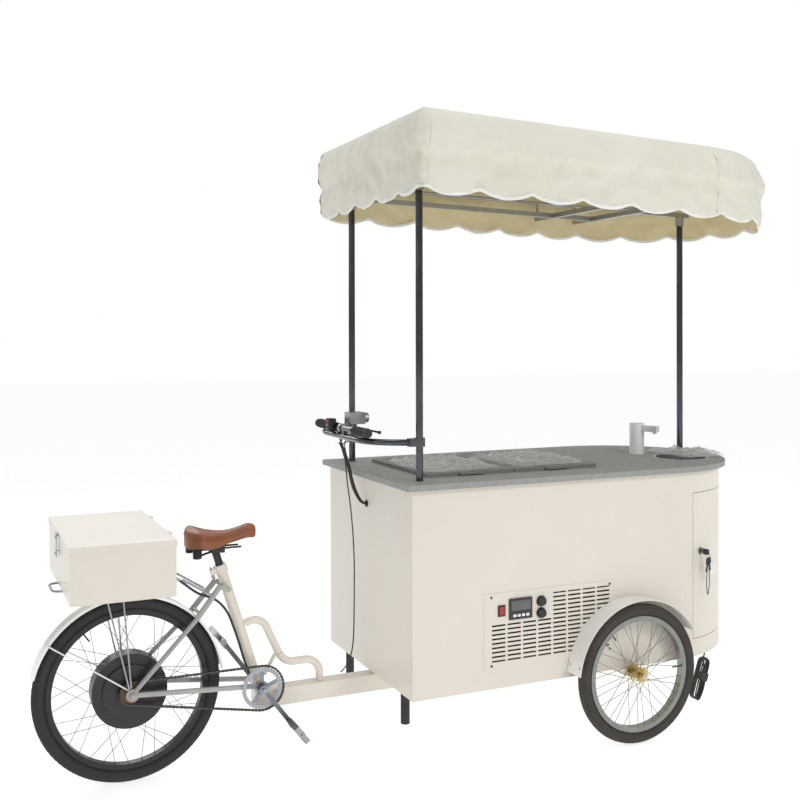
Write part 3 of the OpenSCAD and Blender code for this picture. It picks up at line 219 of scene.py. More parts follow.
# ---- Paint and finishes ----------------------------------------------------
# Satin powder coat on the sheet steel: a faint orange-peel skin and soft cloudy
# tone, kept free of the shared painted edge highlight and crease shade.
def socket(group, name, kind, direction, value=None):
    item = group.interface.new_socket(name, in_out=direction, socket_type=kind)
    if value is not None:
        item.default_value = value
    return item


def add_node(tree, kind, values=None, **settings):
    """New shader node with its settings and socket values."""
    node = tree.nodes.new(kind)
    for name, value in settings.items():
        setattr(node, name, value)
    for name, value in (values or {}).items():
        node.inputs[name].default_value = value
    return node


def link(tree, source, target):
    tree.links.new(source, target)


# Cloudy tone: two colours mixed by fine and coarse noise, and a roughness mask
cloudy = bpy.data.node_groups.new("cloudy_tone", "ShaderNodeTree")
socket(cloudy, "Light", "NodeSocketColor", "INPUT", (0.8, 0.8, 0.8, 1))
socket(cloudy, "Dark", "NodeSocketColor", "INPUT", (0.6, 0.6, 0.6, 1))
socket(cloudy, "Scale", "NodeSocketFloat", "INPUT", 5.0)
socket(cloudy, "Low", "NodeSocketFloat", "INPUT", 0.3)
socket(cloudy, "High", "NodeSocketFloat", "INPUT", 0.5)
socket(cloudy, "Color", "NodeSocketColor", "OUTPUT")
socket(cloudy, "Roughness", "NodeSocketFloat", "OUTPUT")
g_in = cloudy.nodes.new("NodeGroupInput")
g_out = cloudy.nodes.new("NodeGroupOutput")
coords = cloudy.nodes.new("ShaderNodeTexCoord")
clouds = add_node(cloudy, "ShaderNodeTexNoise", {"Detail": 6, "Roughness": 0.62})
blend_node = add_node(cloudy, "ShaderNodeMix", data_type="RGBA")
rough_range = cloudy.nodes.new("ShaderNodeMapRange")
link(cloudy, coords.outputs["Object"], clouds.inputs["Vector"])
link(cloudy, g_in.outputs["Scale"], clouds.inputs["Scale"])
sharpen = add_node(cloudy, "ShaderNodeMapRange", {"From Min": 0.3, "From Max": 0.7})
link(cloudy, clouds.outputs["Fac"], sharpen.inputs["Value"])
link(cloudy, sharpen.outputs["Result"], blend_node.inputs["Factor"])
link(cloudy, g_in.outputs["Light"], blend_node.inputs["A"])
link(cloudy, g_in.outputs["Dark"], blend_node.inputs["B"])
link(cloudy, blend_node.outputs["Result"], g_out.inputs["Color"])
link(cloudy, clouds.outputs["Fac"], rough_range.inputs["Value"])
link(cloudy, g_in.outputs["Low"], rough_range.inputs["To Min"])
link(cloudy, g_in.outputs["High"], rough_range.inputs["To Max"])
link(cloudy, rough_range.outputs["Result"], g_out.inputs["Roughness"])

# Rims and creases by geometry pointiness: rims get a lighter colour, a painted
# highlight, mixed with rubbed wear where a material gives its own edge colour;
# creases get a darker colour, painted shade, except on the tyres, whose lighter
# crease colour is dust.
wear_and_painted_light_group = bpy.data.node_groups.new("edge_wear_and_painted_light", "ShaderNodeTree")
socket(wear_and_painted_light_group, "Color", "NodeSocketColor", "INPUT", (0.8, 0.8, 0.8, 1))
socket(wear_and_painted_light_group, "Edge", "NodeSocketColor", "INPUT", (0.9, 0.9, 0.9, 1))
socket(wear_and_painted_light_group, "Crease", "NodeSocketColor", "INPUT", (0.3, 0.3, 0.3, 1))
socket(wear_and_painted_light_group, "Amount", "NodeSocketFloat", "INPUT", 0.5)
socket(wear_and_painted_light_group, "Color", "NodeSocketColor", "OUTPUT")
w_in = wear_and_painted_light_group.nodes.new("NodeGroupInput")
w_out = wear_and_painted_light_group.nodes.new("NodeGroupOutput")
geometry = wear_and_painted_light_group.nodes.new("ShaderNodeNewGeometry")
break_up = add_node(wear_and_painted_light_group, "ShaderNodeTexNoise", {"Scale": 60, "Detail": 5})
w_coords = wear_and_painted_light_group.nodes.new("ShaderNodeTexCoord")
link(wear_and_painted_light_group, w_coords.outputs["Object"], break_up.inputs["Vector"])
jitter = add_node(wear_and_painted_light_group, "ShaderNodeMath", {1: 0.04}, operation="MULTIPLY_ADD")
link(wear_and_painted_light_group, break_up.outputs["Fac"], jitter.inputs[0])
link(wear_and_painted_light_group, geometry.outputs["Pointiness"], jitter.inputs[2])
masks = []
for low, high in ((0.535, 0.58), (0.515, 0.47)):
    pick = add_node(wear_and_painted_light_group, "ShaderNodeMapRange", {"From Min": low, "From Max": high})
    link(wear_and_painted_light_group, jitter.outputs["Value"], pick.inputs["Value"])
    weigh = add_node(wear_and_painted_light_group, "ShaderNodeMath", operation="MULTIPLY")
    link(wear_and_painted_light_group, pick.outputs["Result"], weigh.inputs[0])
    link(wear_and_painted_light_group, w_in.outputs["Amount"], weigh.inputs[1])
    masks.append(weigh)
lay_crease = add_node(wear_and_painted_light_group, "ShaderNodeMix", data_type="RGBA")
lay_edge = add_node(wear_and_painted_light_group, "ShaderNodeMix", data_type="RGBA")
link(wear_and_painted_light_group, masks[1].outputs["Value"], lay_crease.inputs["Factor"])
link(wear_and_painted_light_group, w_in.outputs["Color"], lay_crease.inputs["A"])
link(wear_and_painted_light_group, w_in.outputs["Crease"], lay_crease.inputs["B"])
link(wear_and_painted_light_group, masks[0].outputs["Value"], lay_edge.inputs["Factor"])
link(wear_and_painted_light_group, lay_crease.outputs["Result"], lay_edge.inputs["A"])
link(wear_and_painted_light_group, w_in.outputs["Edge"], lay_edge.inputs["B"])
link(wear_and_painted_light_group, lay_edge.outputs["Result"], w_out.inputs["Color"])

# Fine relief: a stretched noise, for peel, grain, brushing or casting skin
relief = bpy.data.node_groups.new("fine_relief", "ShaderNodeTree")
socket(relief, "Scale", "NodeSocketFloat", "INPUT", 300)
socket(relief, "Stretch", "NodeSocketVector", "INPUT", (1, 1, 1))
socket(relief, "Height", "NodeSocketFloat", "OUTPUT")
r_in = relief.nodes.new("NodeGroupInput")
r_out = relief.nodes.new("NodeGroupOutput")
r_coords = relief.nodes.new("ShaderNodeTexCoord")
pull = add_node(relief, "ShaderNodeVectorMath", operation="MULTIPLY")
fine = add_node(relief, "ShaderNodeTexNoise", {"Detail": 3})
link(relief, r_coords.outputs["Object"], pull.inputs[0])
link(relief, r_in.outputs["Stretch"], pull.inputs[1])
link(relief, pull.outputs["Vector"], fine.inputs["Vector"])
link(relief, r_in.outputs["Scale"], fine.inputs["Scale"])
link(relief, fine.outputs["Fac"], r_out.inputs["Height"])


def use_group(tree, group, values):
    """Places a shared group in a material and sets its own values."""
    node = tree.nodes.new("ShaderNodeGroup")
    node.node_tree = group
    for name, value in values.items():
        node.inputs[name].default_value = value
    return node


# Every material that doesn't set the amount to 0 gets the painted edge highlight and crease shade;
# the default amount is 0.5.
def finish(name, light, dark, low, high, tone_scale=4.0, grain=300, stretch=(1, 1, 1),
           bump=0.05, metallic=0.0, edge=None, crease=None, wear_and_painted_light=0.5, **sockets):
    """Material with cloudy tone, painted edge highlight, painted crease shade and fine relief."""
    material = bpy.data.materials.new(name)
    material.use_nodes = True
    tree = material.node_tree
    shader = tree.nodes["Principled BSDF"]
    tone = use_group(tree, cloudy, {"Light": (*light, 1), "Dark": (*dark, 1),
                                    "Scale": tone_scale, "Low": low, "High": high})
    # Unless given, edges get a lighter copy of the colour, a painted highlight, and creases a
    # darker copy, painted shade.
    edge = edge or tuple(min(1, c * 1.12) for c in light)
    crease = crease or tuple(c * 0.55 for c in dark)
    wear_and_painted_light_node = use_group(tree, wear_and_painted_light_group, {"Edge": (*edge, 1), "Crease": (*crease, 1),
                                    "Amount": wear_and_painted_light})
    skin = use_group(tree, relief, {"Scale": grain, "Stretch": stretch})
    bumps = add_node(tree, "ShaderNodeBump", {"Strength": bump, "Distance": 0.002})
    link(tree, tone.outputs["Color"], wear_and_painted_light_node.inputs["Color"])
    link(tree, wear_and_painted_light_node.outputs["Color"], shader.inputs["Base Color"])
    link(tree, tone.outputs["Roughness"], shader.inputs["Roughness"])
    link(tree, skin.outputs["Height"], bumps.inputs["Height"])
    link(tree, bumps.outputs["Normal"], shader.inputs["Normal"])
    shader.inputs["Metallic"].default_value = metallic
    for key, value in sockets.items():
        shader.inputs[key.replace("_", " ")].default_value = value
    return material


def coat(material, *names):
    """Gives carried-over nodes or new pieces one material."""
    for name in names:
        piece = nodes[name] if isinstance(name, str) else name
        piece.data.materials.clear()
        piece.data.materials.append(material)


cream_paint = finish("cream_paint", (0.83, 0.775, 0.69), (0.79, 0.735, 0.65), 0.30, 0.42,
                     tone_scale=2.2, grain=420, bump=0.045, wear_and_painted_light=0.0, Coat_Weight=0.15)
coat(cream_paint, "cabinet_skin", "cabinet_door", "underframe", "grille_panel", "main_frame",
     "box_body", "box_lid")

# ---- Frame paint -----------------------------------------------------------
# The rear stays are grey, darker than the beam, with brownish painted shade in their corners and a
# painted highlight on their edges.
stay_paint = finish("stay_paint", (0.46, 0.455, 0.44), (0.36, 0.355, 0.34), 0.3, 0.45,
                    tone_scale=9, grain=380, bump=0.05, wear_and_painted_light=0.2,
                    crease=(0.18, 0.16, 0.13), Coat_Weight=0.1)
coat(stay_paint, "rear_stays")

# ---- White enamel ----------------------------------------------------------
# Fenders are rolled thin sheet in glossy white, with a painted highlight along the lips and painted
# shade in the creases.
white_enamel = finish("white_enamel", (0.90, 0.89, 0.87), (0.85, 0.84, 0.81), 0.18, 0.3,
                      tone_scale=5, grain=260, bump=0.03, wear_and_painted_light=0.5,
                      crease=(0.45, 0.42, 0.38), Coat_Weight=0.3)
coat(white_enamel, "front_fenders", "rear_fender")

# ---- Counter slab ----------------------------------------------------------
# Grey composite slab with a matte speckled face.
counter_stone = finish("counter_stone", (0.36, 0.363, 0.35), (0.30, 0.303, 0.29), 0.42, 0.6,
                       tone_scale=38, grain=700, bump=0.08, wear_and_painted_light=0.0)
coat(counter_stone, "countertop")

# ---- Freezer lids ----------------------------------------------------------
# Two grey moulded lids, hinged on the far side, with a lip to pull.
# The lids get a painted highlight on their edges and painted shade in their creases.
lid_plastic = finish("lid_plastic", (0.225, 0.23, 0.225), (0.18, 0.185, 0.18), 0.32, 0.5,
                     tone_scale=8, grain=500, bump=0.05, wear_and_painted_light=0.4)
coat(lid_plastic, "lid_rear", "lid_front")

# ---- Bright metal ----------------------------------------------------------
# Chromed tube, stainless bowl and tub, satin aluminium castings.
# The chrome's colour is darkened to stand for the dark surroundings it reflects: a painted
# reflection.
chrome_dark_reflection = finish("chrome_dark_reflection", (0.115, 0.125, 0.135), (0.075, 0.082, 0.09), 0.08, 0.2,
                tone_scale=14, grain=90, stretch=(1, 1, 0.05), bump=0.02, metallic=1.0,
                wear_and_painted_light=0.0)
coat(chrome_dark_reflection, "posts", "handlebar", "door_lock")
# Stainless and satin metal get a painted highlight on their edges and painted shade in their
# creases, dark in the satin castings.
stainless = finish("stainless", (0.66, 0.67, 0.69), (0.55, 0.56, 0.58), 0.22, 0.38,
                   tone_scale=10, grain=260, stretch=(0.06, 1, 1), bump=0.06, metallic=1.0)
coat(stainless, "sink_bowl", "freezer_tub")
satin_metal = finish("satin_metal", (0.42, 0.43, 0.44), (0.30, 0.31, 0.32), 0.26, 0.45,
                     tone_scale=30, grain=420, bump=0.07, metallic=1.0, wear_and_painted_light=0.3,
                     crease=(0.08, 0.07, 0.06))
coat(satin_metal, "headlamp", "front_wheel_left", "front_wheel_right", "rear_rack",
     "pedal_left", "pedal_right", "seat_lever", "box_hasp", "canopy_frame")

# ---- Black metal and rubber ------------------------------------------------
# Semi-gloss black enamel on motor, rim and levers; dull rubber on the grips.
black_enamel = finish("black_enamel", (0.014, 0.014, 0.015), (0.024, 0.023, 0.023), 0.25, 0.45,
                      tone_scale=22, grain=350, bump=0.06, wear_and_painted_light=0.0)
coat(black_enamel, "rear_rim", "hub_motor", "brake_lever_left", "brake_lever_right",
     "cooling_unit", "seat_post")
# Rubber and moulding edges are rubbed lighter; their creases get painted shade.
black_rubber = finish("black_rubber", (0.016, 0.016, 0.017), (0.028, 0.027, 0.026), 0.55, 0.75,
                      tone_scale=30, grain=900, bump=0.18, wear_and_painted_light=0.3, edge=(0.05, 0.048, 0.046))
coat(black_rubber, "left_grip", "throttle_grip", "stand_leg_left", "stand_leg_right",
     "cord_gland")
black_moulding = finish("black_moulding", (0.016, 0.016, 0.018), (0.028, 0.028, 0.030), 0.35,
                        0.5, tone_scale=26, grain=1100, bump=0.12, wear_and_painted_light=0.3,
                        edge=(0.06, 0.06, 0.06))
coat(black_moulding, "panel_fittings", "door_key", "mains_plug", "battery_pack", "control_cables",
     "frame_cable", mains_lead)

# ---- Small coloured plastic ------------------------------------------------
# Rocker, horn and lamp buttons, and the water tanks behind the door.
# These plastics get a painted highlight on their edges and painted shade in their creases.
for name, colour in (("rocker_switch", (0.62, 0.02, 0.015)), ("button_red", (0.66, 0.03, 0.02)),
                     ("button_orange", (0.85, 0.25, 0.02)), ("button_green", (0.04, 0.38, 0.10))):
    coat(finish(name + "_plastic", colour, tuple(c * 0.8 for c in colour), 0.2, 0.35,
                tone_scale=60, grain=900, bump=0.03, Coat_Weight=0.3), name)
tank_plastic = finish("tank_plastic", (0.74, 0.78, 0.80), (0.66, 0.71, 0.74), 0.35, 0.5,
                      tone_scale=12, grain=500, bump=0.06)
coat(tank_plastic, "water_tanks")
white_moulding = finish("white_moulding", (0.88, 0.89, 0.90), (0.82, 0.83, 0.85), 0.16, 0.28,
                        tone_scale=16, grain=600, bump=0.02, Coat_Weight=0.4)
coat(white_moulding, "water_dispenser")

# ---- Drive finishes --------------------------------------------------------
# Blue-grey anodised crank, browned freewheel, oily dark chain.
# Crank and chain edges are rubbed bright; the freewheel's lighter edges are a painted highlight,
# and all three get painted shade in their creases.
crank_metal = finish("crank_metal", (0.30, 0.34, 0.38), (0.22, 0.25, 0.28), 0.28, 0.42,
                     tone_scale=34, grain=500, bump=0.06, metallic=0.85, wear_and_painted_light=0.4,
                     edge=(0.55, 0.57, 0.60), crease=(0.05, 0.05, 0.05))
coat(crank_metal, "crankset")
browned_steel = finish("browned_steel", (0.20, 0.105, 0.055), (0.10, 0.055, 0.035), 0.4, 0.6,
                       tone_scale=60, grain=700, bump=0.15, metallic=0.7, wear_and_painted_light=0.8)
coat(browned_steel, "freewheel")
oily_steel = finish("oily_steel", (0.060, 0.054, 0.048), (0.022, 0.020, 0.018), 0.3, 0.5,
                    tone_scale=90, grain=900, bump=0.1, metallic=0.9, wear_and_painted_light=0.4,
                    edge=(0.16, 0.15, 0.14))
coat(oily_steel, "chain")

# ---- Canopy ----------------------------------------------------------------
# One sewn cover of cream acrylic canvas over the tube frame: walls with a
# scalloped hem, a shoulder that slopes in towards the round front, a slack top.
canopy_width, canopy_side, hem_height = 960, 1220, 1958
fold_height, top_height, fold_inset = 160, 286, 55
canopy_slope = math.radians(1.6)
scallop_depth, rear_scallops, side_scallops = 27, 5, 19
half_round = math.pi * canopy_width / 2
hem_length = 2 * canopy_width / 2 + 2 * canopy_side + half_round
cloth_thickness = 0.0014
crumple_depth, crumple_size = 27.0, 480


def top_half(x):
    """Half the width of the flat top, millimetres from the rear edge."""
    return canopy_width / 2 - 8 - (fold_inset - 8) * x / canopy_side


def around_hem(s):
    """Outer and top outline points and the outward direction at a hem length."""
    half = canopy_width / 2
    s = s % hem_length
    if s < half:
        return (0, s), (0, s * top_half(0) / half), (-1, 0)
    s -= half
    if s < canopy_side:
        return (s, half), (s, top_half(s)), (0, 1)
    s -= canopy_side
    if s < half_round:
        turn = math.pi / 2 - s / half
        way = (math.cos(turn), math.sin(turn))
        ends = [(canopy_side + r * way[0], r * way[1]) for r in (half, top_half(canopy_side))]
        return ends[0], ends[1], way
    s -= half_round
    if s < canopy_side:
        x = canopy_side - s
        return (x, -half), (x, -top_half(x)), (0, -1)
    s -= canopy_side
    return (0, s - half), (0, (s - half) * top_half(0) / half), (-1, 0)


def hem_rise(s):
    """How far the scalloped hem rises above its lowest line."""
    half = canopy_width / 2
    s = (s + half) % hem_length
    if s < canopy_width:
        lobe = s / canopy_width * rear_scallops
    else:
        lobe = (s - canopy_width) / (hem_length - canopy_width) * side_scallops
    return scallop_depth * (1 - math.sin(math.pi * (lobe % 1)) ** 0.75)


def creases(place, seed):
    """Sharp little folds of cloth that has been packed away, from -1 to 1."""
    turned = Euler((0.4, 0.9, 0.3)).to_matrix() @ place
    broad = noise.noise(place * 2.1 + Vector((seed, 0, 0)))
    ridge = 1 - 2 * abs(noise.noise(turned * 4.6 + Vector((0, seed, 0))))
    small = 1 - 2 * abs(noise.noise(place * 10.5 + Vector((0, 0, seed))))
    return 0.34 * broad + 0.44 * ridge + 0.22 * small


def canopy_point(s, level, lift=0.0):
    """Point of the cover: level 0 hem, 1 fold, 2 top edge, 3 middle; lift is outwards."""
    outer, inner, way = around_hem(s)
    half = canopy_width / 2
    if level <= 1:
        x, y = outer
        rise = hem_rise(s)
        z = rise + (fold_height - rise) * level
        push = (1 - level) ** 1.3
        flutter = noise.noise(Vector((s / 105, 3.7, 0.5))) * 10 * push
        out = flutter + 6.0 - 8.0 * (1 - level) + 5.0 * level ** 6
        folds = creases(Vector((s, 1.5 * z, 0)) / crumple_size, 5.0)
        out += folds * (crumple_depth - 5.0 * push)
        out -= 9.0 * math.exp(-((level - 0.78) / 0.12) ** 2)
        out = max(out, -9) + lift
        return canopy_place(x + way[0] * out, y + way[1] * out, z)
    if level <= 2:
        t = level - 1
        x = outer[0] + (inner[0] - outer[0]) * t
        y = outer[1] + (inner[1] - outer[1]) * t
        z = fold_height + (top_height - fold_height) * t
        slack = math.sin(math.pi * t)
        out = 11.0 * (1 - t) + 13.0 * slack
        folds = creases(Vector((s, 1.5 * z, 0)) / crumple_size, 5.0)
        out += folds * (crumple_depth * (1 - t) + 5.0 * slack)
        out = max(out, -4) + lift
        bulge = max(out, 0) * 0.8 * t
        return canopy_place(x + way[0] * out, y + way[1] * out, z + bulge)
    t = level - 2
    spine_x = min(max(inner[0], half), canopy_side)
    x = inner[0] + (spine_x - inner[0]) * t
    y = inner[1] * (1 - t)
    bars = (30, 420, 820, 1180, 1400)
    bay = 0.0
    for a, b in zip(bars, bars[1:]):
        if a < x < b:
            bay = math.sin(math.pi * (x - a) / (b - a))
    off_ridge = min(1, abs(y) / 160)
    sag = 6.0 * bay * off_ridge * math.sin(math.pi * min(1, t + 0.12))
    wave = creases(Vector((x, y, 40)) / 210, 9.0) * 3.2 * (0.3 + 0.7 * bay)
    return canopy_place(x, y, top_height - sag + max(wave, -2.0) + lift)


def canopy_place(x, y, z):
    """Tilts a point of the canopy and puts it over the cabinet."""
    c, s = math.cos(canopy_slope), math.sin(canopy_slope)
    return at(x * c + z * s, y, hem_height - x * s + z * c)


def grid_mesh(name, rows, closed=False):
    """Quad mesh from rows of points; closed joins each row's end to its start."""
    mesh = bpy.data.meshes.new(name)
    count = len(rows[0])
    faces = []
    for j in range(len(rows) - 1):
        for i in range(count if closed else count - 1):
            k = (i + 1) % count
            faces.append((j * count + i, j * count + k, (j + 1) * count + k,
                          (j + 1) * count + i))
    mesh.from_pydata([p for row in rows for p in row], [], faces)
    mesh.validate()
    mesh.update()
    return mesh


def mend(mesh, weld=0.0, fill=0):
    """Welds close points, fills holes, turns faces outwards and gives the area."""
    shape = bmesh.new()
    shape.from_mesh(mesh)
    if weld:
        bmesh.ops.remove_doubles(shape, verts=shape.verts, dist=weld)
    if fill:
        bmesh.ops.holes_fill(shape, edges=shape.edges, sides=fill)
    bmesh.ops.recalc_face_normals(shape, faces=shape.faces)
    shape.to_mesh(mesh)
    area = sum(f.calc_area() for f in shape.faces)
    shape.free()
    return area


def shade(mesh, smooth):
    for polygon in mesh.polygons:
        polygon.use_smooth = smooth


def settle(piece, levels=1, thick=0.0, offset=0.0):
    """Subdivides a piece, gives it its thickness and keeps only the result."""
    if levels:
        smooth = piece.modifiers.new("smooth", "SUBSURF")
        smooth.levels = levels
        smooth.render_levels = levels
    if thick:
        solid = piece.modifiers.new("thick", "SOLIDIFY")
        solid.thickness = thick
        solid.offset = offset
    bpy.context.view_layer.update()
    graph = bpy.context.evaluated_depsgraph_get()
    result = bpy.data.meshes.new_from_object(piece.evaluated_get(graph))
    piece.modifiers.clear()
    old = piece.data
    piece.data = result
    bpy.data.meshes.remove(old)
    shade(piece.data, True)


hem_steps = 312
levels = [0.0, 0.06, 0.18, 0.32, 0.46, 0.6, 0.74, 0.87, 0.96, 1.0, 1.06, 1.2, 1.35, 1.5, 1.65,
          1.8, 1.92, 2.0, 2.04, 2.12, 2.24, 2.36, 2.48, 2.6, 2.72, 2.84, 2.95, 3.0]
hem_stations = [i / hem_steps * hem_length for i in range(hem_steps)]
cover_mesh = grid_mesh("canopy_cloth", [[canopy_point(s, v) for s in hem_stations]
                                        for v in levels], closed=True)
cover_area = mend(cover_mesh, weld=0.0004)
canopy_cloth = new_piece("canopy_cloth", cover_mesh, "cart")
settle(canopy_cloth, 1, cloth_thickness)
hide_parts("canopy_cover")

# White tape bound over the cut hem, and the sewn seam tapes at the corners
hem_tape_rows = []
for out, up in ((-2.2, 3.0), (-2.2, 12.0), (-0.9, 12.6), (0.9, 12.6), (2.2, 12.0), (2.2, 3.0),
                (1.4, -0.6), (-1.4, -0.6)):
    row = []
    for s in hem_stations:
        base = canopy_point(s, 0.0, out)
        row.append(base + Vector((0, 0, up / 1000)))
    hem_tape_rows.append(row)
hem_tape_rows.append(hem_tape_rows[0])
tape_mesh = grid_mesh("hem_tape", hem_tape_rows, closed=True)
hem_tape = new_piece("hem_tape", tape_mesh, "cart")
corners = (canopy_width / 2, hem_length - canopy_width / 2)
front_seams = (canopy_width / 2 + canopy_side, hem_length - canopy_width / 2 - canopy_side)
seam_rows = []
for index, middle in enumerate(corners + front_seams):
    rows = []
    for step in range(5):
        s = middle - 8 + 16 * step / 4
        raised = 1.3 if 0 < step < 4 else 0.4
        rows.append([canopy_point(s, 0.06 + 1.9 * k / 40, raised) for k in range(41)])
    seam = new_piece(f"corner_seam_{index}", grid_mesh(f"corner_seam_{index}", rows), "cart")
    settle(seam, 1, 0.0012)
    seam_rows.append(seam)


# Plain weave for cloth: crossed threads, slubs and a soft sheen
weave = bpy.data.node_groups.new("plain_weave", "ShaderNodeTree")
socket(weave, "Threads", "NodeSocketFloat", "INPUT", 900)
socket(weave, "Height", "NodeSocketFloat", "OUTPUT")
v_in = weave.nodes.new("NodeGroupInput")
v_out = weave.nodes.new("NodeGroupOutput")
v_coords = weave.nodes.new("ShaderNodeTexCoord")
waves = []
for direction in ("X", "Y", "Z"):
    wave = add_node(weave, "ShaderNodeTexWave", {"Distortion": 1.2, "Detail": 1},
                    bands_direction=direction)
    link(weave, v_coords.outputs["Object"], wave.inputs["Vector"])
    link(weave, v_in.outputs["Threads"], wave.inputs["Scale"])
    waves.append(wave)
total = waves[0].outputs["Fac"]
for wave in waves[1:]:
    add = add_node(weave, "ShaderNodeMath", operation="ADD")
    link(weave, total, add.inputs[0])
    link(weave, wave.outputs["Fac"], add.inputs[1])
    total = add.outputs["Value"]
link(weave, total, v_out.inputs["Height"])


def cloth_finish(name, light, dark, threads, bump, sheen):
    """Woven cloth: cloudy tone with thread relief over soft crumple, and a faint painted highlight
    and shade at its folds.
    """
    material = finish(name, light, dark, 0.72, 0.9, tone_scale=3.5, grain=40, bump=0.25,
                      wear_and_painted_light=0.15)
    tree = material.node_tree
    shader = tree.nodes["Principled BSDF"]
    threads_node = use_group(tree, weave, {"Threads": threads})
    fine_bump = add_node(tree, "ShaderNodeBump", {"Strength": bump, "Distance": 0.0006})
    soft = shader.inputs["Normal"].links[0].from_socket
    link(tree, threads_node.outputs["Height"], fine_bump.inputs["Height"])
    link(tree, soft, fine_bump.inputs["Normal"])
    link(tree, fine_bump.outputs["Normal"], shader.inputs["Normal"])
    shader.inputs["Sheen Weight"].default_value = sheen
    shader.inputs["Sheen Roughness"].default_value = 0.5
    shader.inputs["Subsurface Weight"].default_value = 0.0
    return material


canvas = cloth_finish("canvas", (0.80, 0.785, 0.69), (0.75, 0.73, 0.625), 700, 0.35, 0.15)
# The underside is painted a deeper beige where its normals face the middle: painted shade.
canvas_tree = canvas.node_tree
hood = canvas_tree.nodes.new("ShaderNodeTexCoord")
hood_middle = at(canopy_side / 2 + 100, 0, hem_height + 60)
hood_reach = add_node(canvas_tree, "ShaderNodeVectorMath", {1: hood_middle}, operation="SUBTRACT")
hood_side = add_node(canvas_tree, "ShaderNodeVectorMath", operation="DOT_PRODUCT")
hood_inner = add_node(canvas_tree, "ShaderNodeMath", {1: 0.0}, operation="LESS_THAN")
underside_painted_shade = add_node(canvas_tree, "ShaderNodeMix", {"B": (0.80, 0.71, 0.46, 1)}, data_type="RGBA")
canvas_shader = canvas_tree.nodes["Principled BSDF"]
link(canvas_tree, hood.outputs["Object"], hood_reach.inputs[0])
link(canvas_tree, hood.outputs["Normal"], hood_side.inputs[0])
link(canvas_tree, hood_reach.outputs["Vector"], hood_side.inputs[1])
link(canvas_tree, hood_side.outputs["Value"], hood_inner.inputs[0])
link(canvas_tree, hood_inner.outputs["Value"], underside_painted_shade.inputs["Factor"])
link(canvas_tree, canvas_shader.inputs["Base Color"].links[0].from_socket, underside_painted_shade.inputs["A"])
link(canvas_tree, underside_painted_shade.outputs["Result"], canvas_shader.inputs["Base Color"])
tape_white = cloth_finish("tape_white", (0.93, 0.925, 0.90), (0.88, 0.87, 0.84), 900, 0.4, 0.2)
coat(canvas, canopy_cloth, *seam_rows)
coat(tape_white, hem_tape)
settle(hem_tape, 1)

# ---- Saddle ----------------------------------------------------------------
# Brown leather over foam on a moulded shell: wide sprung tail, narrow nose, a
# sewn seam round the skirt, and a pair of coil springs under the tail.
saddle_low, saddle_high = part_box("saddle")
saddle_length = saddle_high.x - saddle_low.x
saddle_wide = (saddle_high.y - saddle_low.y) / 2


def ease(t):
    t = min(1, max(0, t))
    return t * t * (3 - 2 * t)


def saddle_station(u):
    """Half width, top height and skirt depth at a share of the length from the tail."""
    tail = math.sin(math.pi / 2 * min(1, u / 0.16 + 0.02)) ** 0.55
    nose = math.sin(math.pi / 2 * min(1, (1 - u) / 0.07 + 0.02)) ** 0.6
    half = saddle_wide - (saddle_wide - 0.031) * ease((u - 0.16) / 0.50)
    top = saddle_high.z - 0.002 - 0.019 * math.sin(math.pi * min(1, max(0, u - 0.12) / 0.75))
    top -= 0.018 * (1 - tail) + 0.012 * (1 - nose)
    skirt = 0.058 - 0.016 * ease((u - 0.1) / 0.5) + 0.005 * ease((u - 0.75) / 0.2)
    return half * min(tail, 1) * (0.45 + 0.55 * nose), top, skirt * (0.5 + 0.5 * nose)


def saddle_point(u, v, lift=0.0):
    """Point of the leather; v runs from one skirt's edge (-1) over the top to the other (1)."""
    half, top, skirt = saddle_station(u)
    roll = abs(v)
    if roll < 0.6:
        across = math.sin(roll / 0.6 * math.pi / 2) * 0.93
        drop = 0.011 * (roll / 0.6) ** 2.2
    else:
        t = (roll - 0.6) / 0.4
        across = 0.93 + 0.07 * math.sin(math.pi * min(1, t * 1.1))
        drop = 0.011 + (skirt - 0.011) * t ** 1.25
    groove = 0.0025 * math.exp(-(v / 0.10) ** 2) * math.sin(math.pi * min(1, max(0, u - 0.1) / 0.7))
    x = saddle_low.x + 0.004 + u * (saddle_length - 0.008)
    y = math.copysign(half * across, v) if v else 0.0
    z = top - drop - groove
    out = noise.noise(Vector((u * 7, v * 3, 1.5))) * 0.0012 + lift
    return Vector((x, y * (1 + out / max(half, 0.02)), z + out * (1 - roll * 0.6)))


saddle_rows = [[saddle_point(i / 56, -1 + 2 * k / 40) for k in range(41)] for i in range(57)]
for row in saddle_rows:
    under_edge = [Vector((p.x, p.y * 0.86, p.z + 0.004)) for p in (row[-1], row[0])]
    row += under_edge
saddle_mesh = grid_mesh("saddle_leather", saddle_rows, closed=True)
mend(saddle_mesh, fill=80)
saddle_leather = new_piece("saddle_leather", saddle_mesh, "seat")
settle(saddle_leather, 1)
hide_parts("saddle")

# Lighter rubbed edges are wear; the near-black creases are painted shade.
leather = finish("saddle_hide", (0.33, 0.105, 0.040), (0.21, 0.062, 0.024), 0.36, 0.55,
                 tone_scale=11, grain=420, bump=0.28, wear_and_painted_light=0.5, edge=(0.42, 0.17, 0.07),
                 crease=(0.09, 0.03, 0.014), Coat_Weight=0.12, Coat_Roughness=0.4)
coat(leather, saddle_leather)
